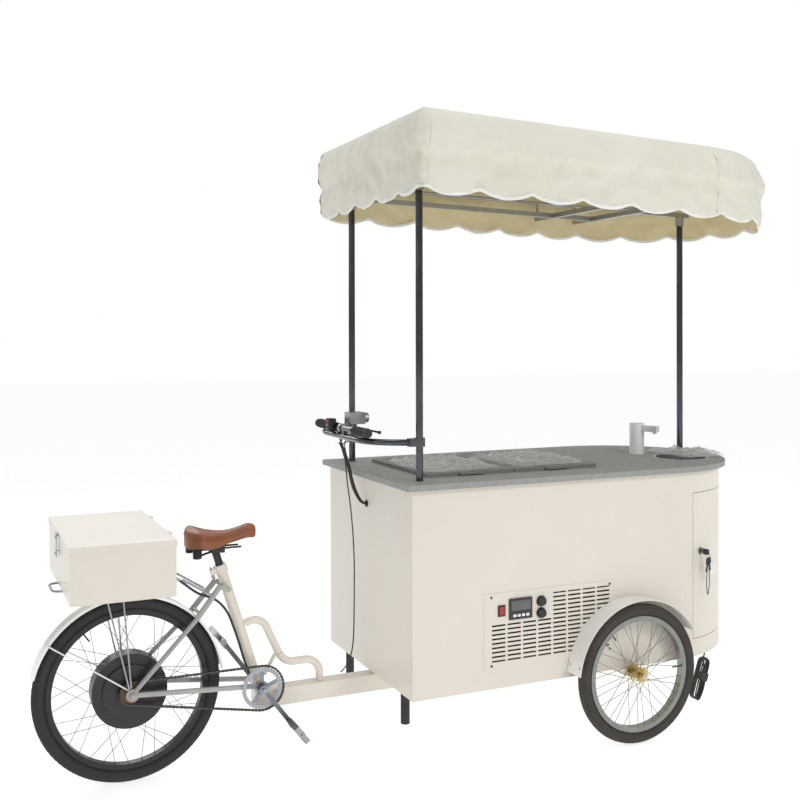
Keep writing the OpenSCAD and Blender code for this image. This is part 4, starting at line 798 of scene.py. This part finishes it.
# The thread's edges get a painted highlight and its creases painted shade.
thread = finish("seam_thread", (0.24, 0.085, 0.035), (0.16, 0.06, 0.03), 0.6, 0.8,
                tone_scale=200, grain=1500, bump=0.3)
for side in (-1, 1):
    seam_line = [saddle_point(0.02 + 0.95 * i / 120, side * 0.70, 0.0006) for i in range(121)]
    seam = tube_curve(f"saddle_seam_{'left' if side > 0 else 'right'}", seam_line, 0.0012, "seat",
                      2)
    coat(thread, seam)
    spring_line = []
    for i in range(141):
        turn = 2 * math.pi * 4.5 * i / 140
        spring_line.append(at(-648 + 14.2 * math.cos(turn), side * 56 + 14.2 * math.sin(turn),
                              736 + 29 * i / 140))
    spring = tube_curve(f"saddle_spring_{'left' if side > 0 else 'right'}", spring_line, 0.0021,
                        "seat", 2)
    coat(black_enamel, spring)

# ---- Tyres -----------------------------------------------------------------
# Moulded rubber with a raised tread, ribbed shoulders and thin walls down to
# the beads in the rim. Front tyres are brown-grey and dusty, the rear is black.


def tyre_mesh(name, centre, radius, width, bead_radius, pitch, rows_of_blocks, depth):
    """Tyre around the Y axis, with its tread blocks cut into the crown."""
    tube = width / 2
    middle = radius - tube
    segments = int(2 * math.pi * radius / pitch) * 4
    profile = []
    for i in range(61):
        angle = math.radians(-148 + 296 * i / 60)
        profile.append((math.cos(angle), math.sin(angle), angle))
    rings = []
    for k in range(segments):
        turn = 2 * math.pi * k / segments
        ring = [(-0.0105, bead_radius), (-0.0128, bead_radius + 0.001)]
        for c, s, angle in profile:
            share = abs(math.degrees(angle))
            height = 0.0
            if share < 62:
                band = int((math.degrees(angle) + 62) / 124 * rows_of_blocks)
                edge = ((math.degrees(angle) + 62) / 124 * rows_of_blocks) % 1
                step = (k + 2 * (band % 2)) % 4
                height = -depth if edge < 0.16 or edge > 0.84 or step == 3 else 0.0
            elif share < 78:
                height = -depth * (0.2 if k % 4 < 2 else 1.0)
            else:
                height = -depth - 0.0005 * (1 if 84 < share < 88 or 108 < share < 111 else 2)
            r = tube + height
            ring.append((r * s, middle + r * c))
        ring += [(0.0128, bead_radius + 0.001), (0.0105, bead_radius)]
        rings.append([centre + Vector((r * math.cos(turn), y, r * math.sin(turn)))
                      for y, r in ring])
    rings.append(rings[0])
    mesh = grid_mesh(name, rings)
    mend(mesh, weld=0.00002)
    return mesh


brown_rubber = finish("brown_rubber", (0.062, 0.052, 0.044), (0.040, 0.034, 0.030), 0.62, 0.85,
                      tone_scale=18, grain=600, bump=0.2, wear_and_painted_light=0.6, edge=(0.11, 0.095, 0.082),
                      crease=(0.10, 0.088, 0.076))
rear_rubber = finish("rear_rubber", (0.018, 0.018, 0.019), (0.028, 0.027, 0.026), 0.55, 0.78,
                     tone_scale=16, grain=600, bump=0.2, wear_and_painted_light=0.5, edge=(0.045, 0.043, 0.041),
                     crease=(0.040, 0.037, 0.034))
for node, body, bead, rubber, slot_name, pitch, blocks in (
        ("front_tyre_left", "front_wheel_left", 0.2085, brown_rubber, "tyre_brown", 0.012, 5),
        ("front_tyre_right", "front_wheel_right", 0.2085, brown_rubber, "tyre_brown", 0.012, 5),
        ("rear_tyre", "rear_wheel", 0.2635, rear_rubber, "tyre_black", 0.020, 6)):
    low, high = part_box(node)
    hub = (low + high) / 2
    mesh = tyre_mesh(node + "_tread", hub, (high.z - low.z) / 2, high.y - low.y, bead, pitch,
                     blocks, 0.0022)
    tread = new_piece(node + "_tread", mesh, body)
    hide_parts(node)
    coat(rubber, tread)
    settle(tread, 0, 0.003, -1)
    shade(tread.data, False)

# ---- Wheel metal -----------------------------------------------------------
# Front wheels: olive-grey rim and spokes, brassy hub. Rear: black rim, grey spokes.
zone = bpy.data.node_groups.new("radius_zone", "ShaderNodeTree")
socket(zone, "Centre", "NodeSocketVector", "INPUT", (0, 0, 0))
socket(zone, "Radius", "NodeSocketFloat", "INPUT", 0.1)
socket(zone, "Mask", "NodeSocketFloat", "OUTPUT")
z_in = zone.nodes.new("NodeGroupInput")
z_out = zone.nodes.new("NodeGroupOutput")
z_coords = zone.nodes.new("ShaderNodeTexCoord")
away = add_node(zone, "ShaderNodeVectorMath", operation="SUBTRACT")
flat = add_node(zone, "ShaderNodeVectorMath", {1: (1, 0, 1)}, operation="MULTIPLY")
reach = add_node(zone, "ShaderNodeVectorMath", operation="LENGTH")
outside = add_node(zone, "ShaderNodeMath", operation="GREATER_THAN")
link(zone, z_coords.outputs["Object"], away.inputs[0])
link(zone, z_in.outputs["Centre"], away.inputs[1])
link(zone, away.outputs["Vector"], flat.inputs[0])
link(zone, flat.outputs["Vector"], reach.inputs[0])
link(zone, reach.outputs["Value"], outside.inputs[0])
link(zone, z_in.outputs["Radius"], outside.inputs[1])
link(zone, outside.outputs["Value"], z_out.inputs["Mask"])


def two_zone_metal(name, centre, radius, inner, outer, outer_metallic=1.0):
    """Metal with one colour inside a radius of the wheel's axle and one outside."""
    # Edges get a painted highlight and creases painted shade.
    material = finish(name, inner, tuple(c * 0.8 for c in inner), 0.22, 0.4, tone_scale=30,
                      grain=420, bump=0.06, metallic=1.0, wear_and_painted_light=0.5)
    tree = material.node_tree
    shader = tree.nodes["Principled BSDF"]
    where = use_group(tree, zone, {"Centre": tuple(centre), "Radius": radius})
    inner_colour = shader.inputs["Base Color"].links[0].from_socket
    outer_tone = use_group(tree, cloudy, {"Light": (*outer, 1),
                                          "Dark": (*(c * 0.8 for c in outer), 1),
                                          "Scale": 24, "Low": 0.2, "High": 0.4})
    swap = add_node(tree, "ShaderNodeMix", data_type="RGBA")
    link(tree, where.outputs["Mask"], swap.inputs["Factor"])
    link(tree, inner_colour, swap.inputs["A"])
    link(tree, outer_tone.outputs["Color"], swap.inputs["B"])
    link(tree, swap.outputs["Result"], shader.inputs["Base Color"])
    if outer_metallic < 1.0:
        metal = add_node(tree, "ShaderNodeMapRange", {"To Min": 1.0, "To Max": outer_metallic})
        link(tree, where.outputs["Mask"], metal.inputs["Value"])
        link(tree, metal.outputs["Result"], shader.inputs["Metallic"])
    return material


for side in ("left", "right"):
    low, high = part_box("front_wheel_" + side)
    coat(two_zone_metal("front_wheel_metal_" + side, (low + high) / 2, 0.040,
                        (0.55, 0.42, 0.17), (0.29, 0.30, 0.28)),
         "front_wheel_" + side)
low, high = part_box("rear_rim")
coat(two_zone_metal("rear_wheel_metal", (low + high) / 2, 0.2475, (0.36, 0.37, 0.38),
                    (0.016, 0.016, 0.018), 0.1), "rear_rim")

# ---- Chain -----------------------------------------------------------------
# Roller chain of half-inch pitch: pairs of waisted plates on pins and rollers,
# outer and inner in turn, laid round the ring and the sprocket.
pitch, ring_teeth, cog_teeth = 0.0127, 38, 18
ring_radius = pitch / 2 / math.sin(math.pi / ring_teeth)
cog_radius = pitch / 2 / math.sin(math.pi / cog_teeth)
ring_centre, cog_centre = at(-422, -60, 266), at(-869, -60, 310)
gap = cog_centre - ring_centre
reach_length = math.hypot(gap.x, gap.z)
heading = math.atan2(gap.z, gap.x)
spread = math.acos((ring_radius - cog_radius) / reach_length)
upper, lower = heading - spread, heading + spread


def chain_place(s):
    """Centre and heading at a length along the loop, from the ring's upper tangent."""
    straight = math.sqrt(reach_length ** 2 - (ring_radius - cog_radius) ** 2)
    ring_arc = ring_radius * (2 * math.pi - 2 * spread)
    cog_arc = cog_radius * 2 * spread
    for part, length in (("run", straight), ("cog", cog_arc), ("back", straight),
                         ("ring", ring_arc)):
        if s <= length:
            break
        s -= length
    if part == "run":
        a = ring_centre + ring_radius * Vector((math.cos(upper), 0, math.sin(upper)))
        way = Vector((-math.sin(upper), 0, math.cos(upper)))
        way = way if way.dot(gap) > 0 else -way
        return a + way * s, way
    if part == "back":
        a = cog_centre + cog_radius * Vector((math.cos(lower), 0, math.sin(lower)))
        way = Vector((-math.sin(lower), 0, math.cos(lower)))
        way = way if way.dot(gap) < 0 else -way
        return a + way * s, way
    centre, radius, start = ((cog_centre, cog_radius, upper) if part == "cog"
                             else (ring_centre, ring_radius, lower))
    turn = start + s / radius
    return (centre + radius * Vector((math.cos(turn), 0, math.sin(turn))),
            Vector((-math.sin(turn), 0, math.cos(turn))))


chain_length = (2 * math.sqrt(reach_length ** 2 - (ring_radius - cog_radius) ** 2)
                + ring_radius * (2 * math.pi - 2 * spread) + cog_radius * 2 * spread)
link_count = 2 * round(chain_length / pitch / 2)
links = bmesh.new()


def disc(centre, radius, y_low, y_high, sides=12):
    """Short closed cylinder along Y in the links' mesh."""
    rims = [[links.verts.new(centre + Vector((radius * math.cos(2 * math.pi * k / sides), y,
                                              radius * math.sin(2 * math.pi * k / sides))))
             for k in range(sides)] for y in (y_low, y_high)]
    for k in range(sides):
        n = (k + 1) % sides
        links.faces.new((rims[0][k], rims[0][n], rims[1][n], rims[1][k]))
    links.faces.new(reversed(rims[0]))
    links.faces.new(rims[1])


def plate(a, b, y_low, y_high):
    """Waisted side plate between two pins."""
    way = (b - a).normalized()
    side = Vector((-way.z, 0, way.x))
    outline = []
    for centre, sign in ((a, -1), (b, 1)):
        for k in range(7):
            turn = math.pi * (k / 6 - 0.5)
            outline.append(centre + sign * (way * math.cos(turn) - side * math.sin(turn) * -1)
                           * 0.0040)
        if sign < 0:
            outline.append((a + b) / 2 + side * 0.0026 * (1 if (outline[-1] - a).dot(side) > 0
                                                          else -1))
    outline.append((a + b) / 2 + side * 0.0026 * (1 if (outline[-1] - b).dot(side) > 0 else -1))
    rims = [[links.verts.new(p + Vector((0, y, 0))) for p in outline] for y in (y_low, y_high)]
    count = len(outline)
    for k in range(count):
        n = (k + 1) % count
        links.faces.new((rims[0][k], rims[0][n], rims[1][n], rims[1][k]))
    links.faces.new(reversed(rims[0]))
    links.faces.new(rims[1])


pins = [chain_place(i / link_count * chain_length)[0] for i in range(link_count)]
for i, pin in enumerate(pins):
    following = pins[(i + 1) % link_count]
    offset = 0.0026 if i % 2 else 0.0036
    for side in (-1, 1):
        middle_y = side * offset
        plate(pin, following, middle_y - 0.0004, middle_y + 0.0004)
    disc(pin, 0.0036, -0.0016, 0.0016)
    disc(pin, 0.0018, -0.0044, 0.0044, 8)
bmesh.ops.recalc_face_normals(links, faces=links.faces)
chain_mesh = bpy.data.meshes.new("chain_links")
links.to_mesh(chain_mesh)
links.free()
chain_links = new_piece("chain_links", chain_mesh, "rear_frame")
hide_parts("chain")
coat(oily_steel, chain_links)

# ---- Handlebar cables ------------------------------------------------------
# Black brake and throttle housings and the loom's sleeves: they gather under
# the bar, fall over the counter's edge and go into the rear wall's grommet.
bundle = [Vector(p) for p in ((-96, 30, 1098), (-78, 34, 1060), (-62, 34, 1010), (-52, 32, 965),
                              (-40, 26, 920), (-24, 16, 884), (-8, 8, 870), (6, 8, 870))]
bundle_line = smooth_path(bundle, 6)
strands = []
for index in range(6):
    points = []
    for i, p in enumerate(bundle_line):
        share = i / (len(bundle_line) - 1)
        turn = 2 * math.pi * (index / 6 + 0.8 * share)
        spread_out = 4.6 + 6 * (1 - share) * noise.noise(Vector((index * 3.1, share * 3, 0.5)))
        points.append(at(p.x + spread_out * math.cos(turn), p.y + spread_out * math.sin(turn),
                         p.z))
    strands.append((f"loom_strand_{index}", points, 0.0026))
brake = [(-92, 44, 1110), (-74, 50, 1060), (-64, 54, 1000), (-56, 60, 940), (-44, 62, 860),
         (-36, 58, 760), (-34, 50, 660), (-36, 44, 560), (-38, 42, 460), (-40, 42, 380),
         (-50, 36, 320), (-72, 24, 280), (-104, 10, 258)]
strands.append(("brake_cable", [at(*p) for p in smooth_path([Vector(p) for p in brake], 5)],
                0.0025))
for side in (-1, 1):
    sweep = [(-52, side * 108, 1154), (-48, side * 88, 1150), (-62, side * 60, 1128),
             (-84, side * 36 + 10, 1108), (-88, 30, 1086), (-72, 33, 1044)]
    strands.append((f"lever_cable_{'left' if side > 0 else 'right'}",
                    [at(*p) for p in smooth_path([Vector(p) for p in sweep], 8)], 0.0024))
lamp_lead = [(-40, 8, 1170), (-56, 12, 1150), (-70, 18, 1120), (-80, 26, 1090), (-66, 31, 1030)]
strands.append(("lamp_lead", [at(*p) for p in smooth_path([Vector(p) for p in lamp_lead], 8)],
                0.002))
for name, points, radius in strands:
    coat(black_moulding, tube_curve(name, points, radius, "cart", 3))
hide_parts("control_cables")
frame_route = [(-769, -26, 690), (-750, -26, 689), (-722, -26, 676), (-690, -27, 651),
               (-640, -28, 612), (-580, -30, 584), (-540, -30, 540), (-514, -26, 480),
               (-494, -25, 420), (-476, -25, 360), (-458, -26, 310)]
motor_lead = tube_curve("motor_lead", [at(*p) for p in smooth_path(
    [Vector(p) for p in frame_route], 6)], 0.0045, "rear_frame", 3)
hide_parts("frame_cable")
coat(black_moulding, motor_lead)

# ---- Grips and grommet -----------------------------------------------------
# Ribbed rubber rings on both grips, and the rubber grommet round the loom.


def ring_piece(name, centre, axis, major, minor, body, material, turns=40):
    """Rubber or metal ring round an axis."""
    side = Vector((0, 0, 1)) if abs(axis.z) < 0.9 else Vector((1, 0, 0))
    u = axis.cross(side).normalized()
    v = axis.cross(u).normalized()
    rows = []
    for k in range(turns + 1):
        turn = 2 * math.pi * k / turns
        out = u * math.cos(turn) + v * math.sin(turn)
        rows.append([centre + out * (major + minor * math.cos(a)) + axis * minor * math.sin(a)
                     for a in (2 * math.pi * n / 10 for n in range(10))])
    mesh = grid_mesh(name, rows, closed=True)
    mend(mesh, weld=0.00001)
    ring = new_piece(name, mesh, body)
    shade(mesh, True)
    coat(material, ring)


for body, side in (("cart", 1), ("throttle", -1)):
    for i in range(12):
        ring_piece(f"{body}_grip_rib_{i}", at(-100, side * (134 + 9 * i), 1154),
                   Vector((0, 1, 0)), 0.0158, 0.0014, body, black_rubber)
ring_piece("loom_grommet", at(-1, 8, 870), Vector((1, 0, 0)), 0.0105, 0.003, "cart",
           black_rubber)

# ---- Clear film ------------------------------------------------------------
# Crumpled clear wrapping left on the two lids and round the sink: thin film
# pushed into sharp creases, one sheet on each lid and one by the front post.
film_clear = bpy.data.materials.new("film_clear")
film_clear.use_nodes = True
film_tree = film_clear.node_tree
film_shader = film_tree.nodes["Principled BSDF"]
film_tone = use_group(film_tree, cloudy, {"Light": (0.97, 0.98, 0.99, 1),
                                          "Dark": (0.90, 0.92, 0.94, 1), "Scale": 30,
                                          "Low": 0.03, "High": 0.18})
film_skin = use_group(film_tree, relief, {"Scale": 60, "Stretch": (1, 1, 1)})
film_bump = add_node(film_tree, "ShaderNodeBump", {"Strength": 0.6, "Distance": 0.004})
link(film_tree, film_tone.outputs["Color"], film_shader.inputs["Base Color"])
link(film_tree, film_tone.outputs["Roughness"], film_shader.inputs["Roughness"])
link(film_tree, film_skin.outputs["Height"], film_bump.inputs["Height"])
link(film_tree, film_bump.outputs["Normal"], film_shader.inputs["Normal"])
film_shader.inputs["Alpha"].default_value = 0.22
film_shader.inputs["IOR"].default_value = 1.5


def film_piece(name, centre, length, width, height, body, seed, keep):
    """Crumpled sheet lying on a flat top; keep says which points stay."""
    steps = 84
    rows = []
    for i in range(steps + 1):
        row = []
        for k in range(steps + 1):
            a, b = i / steps * 2 - 1, k / steps * 2 - 1
            wander = 0.10 * noise.noise(Vector((a * 1.7, b * 1.7, seed)))
            x = a * length / 2 * (1 + wander - 0.10 * abs(b) ** 3)
            y = b * width / 2 * (1 + wander - 0.08 * abs(a) ** 3)
            p = Vector((x, y, 0)) * 11 + Vector((seed, seed, 0))
            ridges = sum(w * (1 - abs(2 * noise.noise(p * f + Vector((0, 0, f))))) ** 2
                         for f, w in ((0.8, 0.42), (1.9, 0.33), (4.2, 0.17), (8.5, 0.08)))
            rim = min(1, (1 - max(abs(a), abs(b))) * 5 + 0.10)
            z = 0.0012 + height * max(0, ridges - 0.10) * rim
            row.append(centre + Vector((x, y, z)))
        rows.append(row)
    mesh = grid_mesh(name, rows)
    cut = bmesh.new()
    cut.from_mesh(mesh)
    bmesh.ops.delete(cut, geom=[v for v in cut.verts if not keep(v.co)], context="VERTS")
    cut.to_mesh(mesh)
    cut.free()
    film = new_piece(name, mesh, body)
    settle(film, 0, 0.0003, 1)
    shade(film.data, False)
    coat(film_clear, film)
    return film


for name, body, side in (("film_rear", "lid_rear", -1), ("film_front", "lid_front", 1)):
    low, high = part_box(body)
    middle = Vector(((low.x + high.x) / 2 + 0.004 * side, -0.030, at(0, 0, 1002.5).z))
    film = film_piece(name, middle, 0.325, 0.385, 0.034, body, 3.0 + side, lambda p: True)
post_place, tap_low = at(1440, 0, 0), at(1250, 45, 0)


def beside_sink(p):
    """Keeps the film off the post, the dispenser and the bowl's mouth."""
    clear_post = math.hypot(p.x - post_place.x, p.y - post_place.y) > 0.020
    clear_tap = math.hypot(p.x - tap_low.x, p.y - tap_low.y) > 0.036
    return clear_post and clear_tap


sink_film = film_piece("film_sink", at(1425, -55, 992), 0.20, 0.30, 0.040, "cart", 7.5,
                       beside_sink)

# ---- Keys ------------------------------------------------------------------
# Two flat keys on a split ring in the door lock, with a paper tag and a cord.
lock_way = Vector((math.cos(math.radians(-75.5)), math.sin(math.radians(-75.5)), 0))
lock_side = Vector((-lock_way.y, lock_way.x, 0))
lock_place = at(1130, 0, 660) + lock_way * half_cabinet
ring_centre_point = lock_place + lock_way * 0.034 + Vector((0, 0, -0.010))
ring_piece("key_ring", ring_centre_point, lock_side, 0.011, 0.0009, "door",
           satin_metal)
for index, (lean, drop) in enumerate(((0.25, 0.0), (-0.35, -0.004))):
    start = ring_centre_point + Vector((0, 0, -0.010 + drop)) + lock_way * 0.002 * (index + 1)
    down = (Vector((0, 0, -1)) + lock_side * lean).normalized()
    across = down.cross(lock_way).normalized()
    outline = [(0.0, -0.011), (0.006, -0.013), (0.016, -0.013), (0.024, -0.010), (0.027, -0.004),
               (0.040, -0.004), (0.043, -0.002), (0.046, -0.004), (0.050, -0.002),
               (0.053, 0.001), (0.050, 0.004), (0.027, 0.004), (0.024, 0.010), (0.016, 0.013),
               (0.006, 0.013), (0.0, 0.011)]
    key_mesh = bpy.data.meshes.new(f"hanging_key_{index}")
    shape = bmesh.new()
    shape.faces.new([shape.verts.new(start + down * d + across * w) for d, w in outline])
    shape.to_mesh(key_mesh)
    shape.free()
    key = new_piece(f"hanging_key_{index}", key_mesh, "door")
    settle(key, 0, 0.0022, 0)
    shade(key.data, False)
    coat(black_moulding, key)
tag_rows = []
for i in range(13):
    t = i / 12
    sway = 0.006 * math.sin(t * 3)
    tag_rows.append([ring_centre_point + Vector((0, 0, -0.012 - 0.062 * t)) + lock_way * (
        0.008 + sway) + lock_side * (0.016 + w * (0.35 + 0.65 * min(1, t * 4)))
        for w in (-0.013, -0.005, 0.005, 0.013)])
tag = new_piece("paper_tag", grid_mesh("paper_tag", tag_rows), "door")
settle(tag, 1, 0.0006, 0)
# The tag's edges get a painted highlight and its creases painted shade.
paper = finish("tag_paper", (0.87, 0.87, 0.85), (0.80, 0.80, 0.77), 0.6, 0.8, tone_scale=60,
               grain=800, bump=0.1)
coat(paper, tag)
strap = [ring_centre_point + Vector((0, 0, -0.010)), ring_centre_point + lock_side * -0.008
         + Vector((0, 0, -0.05)), ring_centre_point + lock_side * -0.014 + Vector((0, 0, -0.11)),
         ring_centre_point + lock_side * -0.006 + Vector((0, 0, -0.150)),
         ring_centre_point + lock_side * 0.004 + Vector((0, 0, -0.108)),
         ring_centre_point + lock_side * 0.002 + Vector((0, 0, -0.05)),
         ring_centre_point + lock_way * 0.002 + Vector((0, 0, -0.011))]
strap_piece = tube_curve("key_strap", smooth_path([p + lock_way * 0.004 for p in strap], 8),
                         0.0016, "door", 2)
coat(black_moulding, strap_piece)

# ---- Panel details ---------------------------------------------------------
# The thermostat's grey window and four keys, and lobed socket caps.

def plate_piece(name, low, high, bevel, body, material):
    """Small moulded block with rounded edges."""
    mesh = bpy.data.meshes.new(name)
    block = bmesh.new()
    bmesh.ops.create_cube(block, size=1)
    for v in block.verts:
        v.co = Vector((low[i] if c < 0 else high[i]) for i, c in enumerate(v.co))
    bmesh.ops.bevel(block, geom=block.edges, offset=bevel, segments=3, affect="EDGES",
                    profile=0.5)
    block.to_mesh(mesh)
    block.free()
    piece = new_piece(name, mesh, body)
    shade(mesh, True)
    coat(material, piece)


# The window's edges get a painted highlight and its creases painted shade.
display_grey = finish("display_grey", (0.10, 0.11, 0.115), (0.075, 0.08, 0.085), 0.1, 0.2,
                      tone_scale=20, grain=300, bump=0.01, Coat_Weight=0.5)
thermo_face = -half_cabinet - 0.0016 - 0.0061
plate_piece("thermostat_window", at(379, 0, 526) + Vector((0, thermo_face - 0.0008, 0)),
            at(457, 0, 561) + Vector((0, thermo_face + 0.0004, 0)), 0.0005, "cart",
            display_grey)
for i in range(4):
    x = 386 + 17.5 * i
    plate_piece(f"thermostat_key_{i}", at(x, 0, 504) + Vector((0, thermo_face - 0.0014, 0)),
                at(x + 12, 0, 513) + Vector((0, thermo_face + 0.0004, 0)), 0.0006, "cart",
                white_moulding)
for index, z in enumerate((506, 548)):
    for lobe in range(3):
        turn = math.radians(90 + 120 * lobe)
        middle = at(503 + 11 * math.cos(turn), 0, z + 11 * math.sin(turn))
        ring_piece(f"socket_lobe_{index}_{lobe}", Vector((
            middle.x, -half_cabinet - 0.0016 - 0.0118, middle.z)), Vector((0, 1, 0)), 0.004,
            0.002, "cart", black_moulding, 20)

# ---- Box hardware and fender rivets ----------------------------------------
# Rivets on the rear box's pressed clasp plate, and rivets along the fenders.


def rivet(name, place, way, radius, body, material):
    """Low domed rivet head."""
    mesh = bpy.data.meshes.new(name)
    dome = bmesh.new()
    bmesh.ops.create_uvsphere(dome, u_segments=16, v_segments=8, radius=1)
    turn = way.to_track_quat("Z", "Y").to_matrix()
    for v in dome.verts:
        v.co = place + turn @ Vector((v.co.x * radius, v.co.y * radius, v.co.z * radius * 0.45))
    dome.to_mesh(mesh)
    dome.free()
    head = new_piece(name, mesh, body)
    shade(mesh, True)
    coat(material, head)


for side, sign in (("left", 1), ("right", -1)):
    for index, angle in enumerate((36, 168)):
        turn = math.radians(angle)
        out = Vector((math.cos(turn), 0, math.sin(turn)))
        for across in (12, 72):
            rivet(f"fender_rivet_{side}_{index}_{across}",
                  at(884, sign * (394 + across), 254) + out * 0.2726, out, 0.004, "cart",
                  satin_metal)
for index, (y, z) in enumerate(((-9, 783), (9, 783), (-9, 835), (9, 835))):
    rivet(f"hasp_rivet_{index}", Vector((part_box("box_hasp")[0].x, y / 1000, z / 1000)),
          Vector((-1, 0, 0)), 0.003, "box_hasp", satin_metal)

# ---- Motor bolts and valves ------------------------------------------------
# A ring of cover bolts on each side of the hub motor, and a valve in each rim.
axle, motor_face = at(-869, 0, 310), 0.032
# The bolt heads get a painted highlight on their edges and painted shade in their creases.
bolt_metal = finish("bolt_metal", (0.10, 0.10, 0.105), (0.06, 0.06, 0.062), 0.3, 0.45,
                    tone_scale=60, grain=700, bump=0.05, metallic=1.0)
for k in range(12):
    turn = 2 * math.pi * (k + 0.5) / 12
    out = Vector((math.cos(turn), 0, math.sin(turn)))
    for sign in (-1, 1):
        rivet(f"motor_bolt_{k}_{'left' if sign > 0 else 'right'}",
              axle + out * 0.104 + Vector((0, sign * motor_face, 0)), Vector((0, sign, 0)),
              0.0035, "rear_wheel", bolt_metal)
for body, node, depth in (("rear_wheel", "rear_rim", 0.243), ("front_wheel_left",
                          "front_wheel_left", 0.190), ("front_wheel_right",
                          "front_wheel_right", 0.190)):
    low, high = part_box(node)
    middle = (low + high) / 2
    out = Vector((math.cos(2.2), 0, math.sin(2.2)))
    valve = tube_curve(f"{node}_valve", [middle + out * (depth - d) for d in
                                         (-0.004, 0.012, 0.026, 0.030)],
                       0.0028, body, 3)
    coat(black_moulding, valve)

# ---- Sizes and the end -----------------------------------------------------
# The finished model's bounding box, over every piece that renders.
low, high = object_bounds()
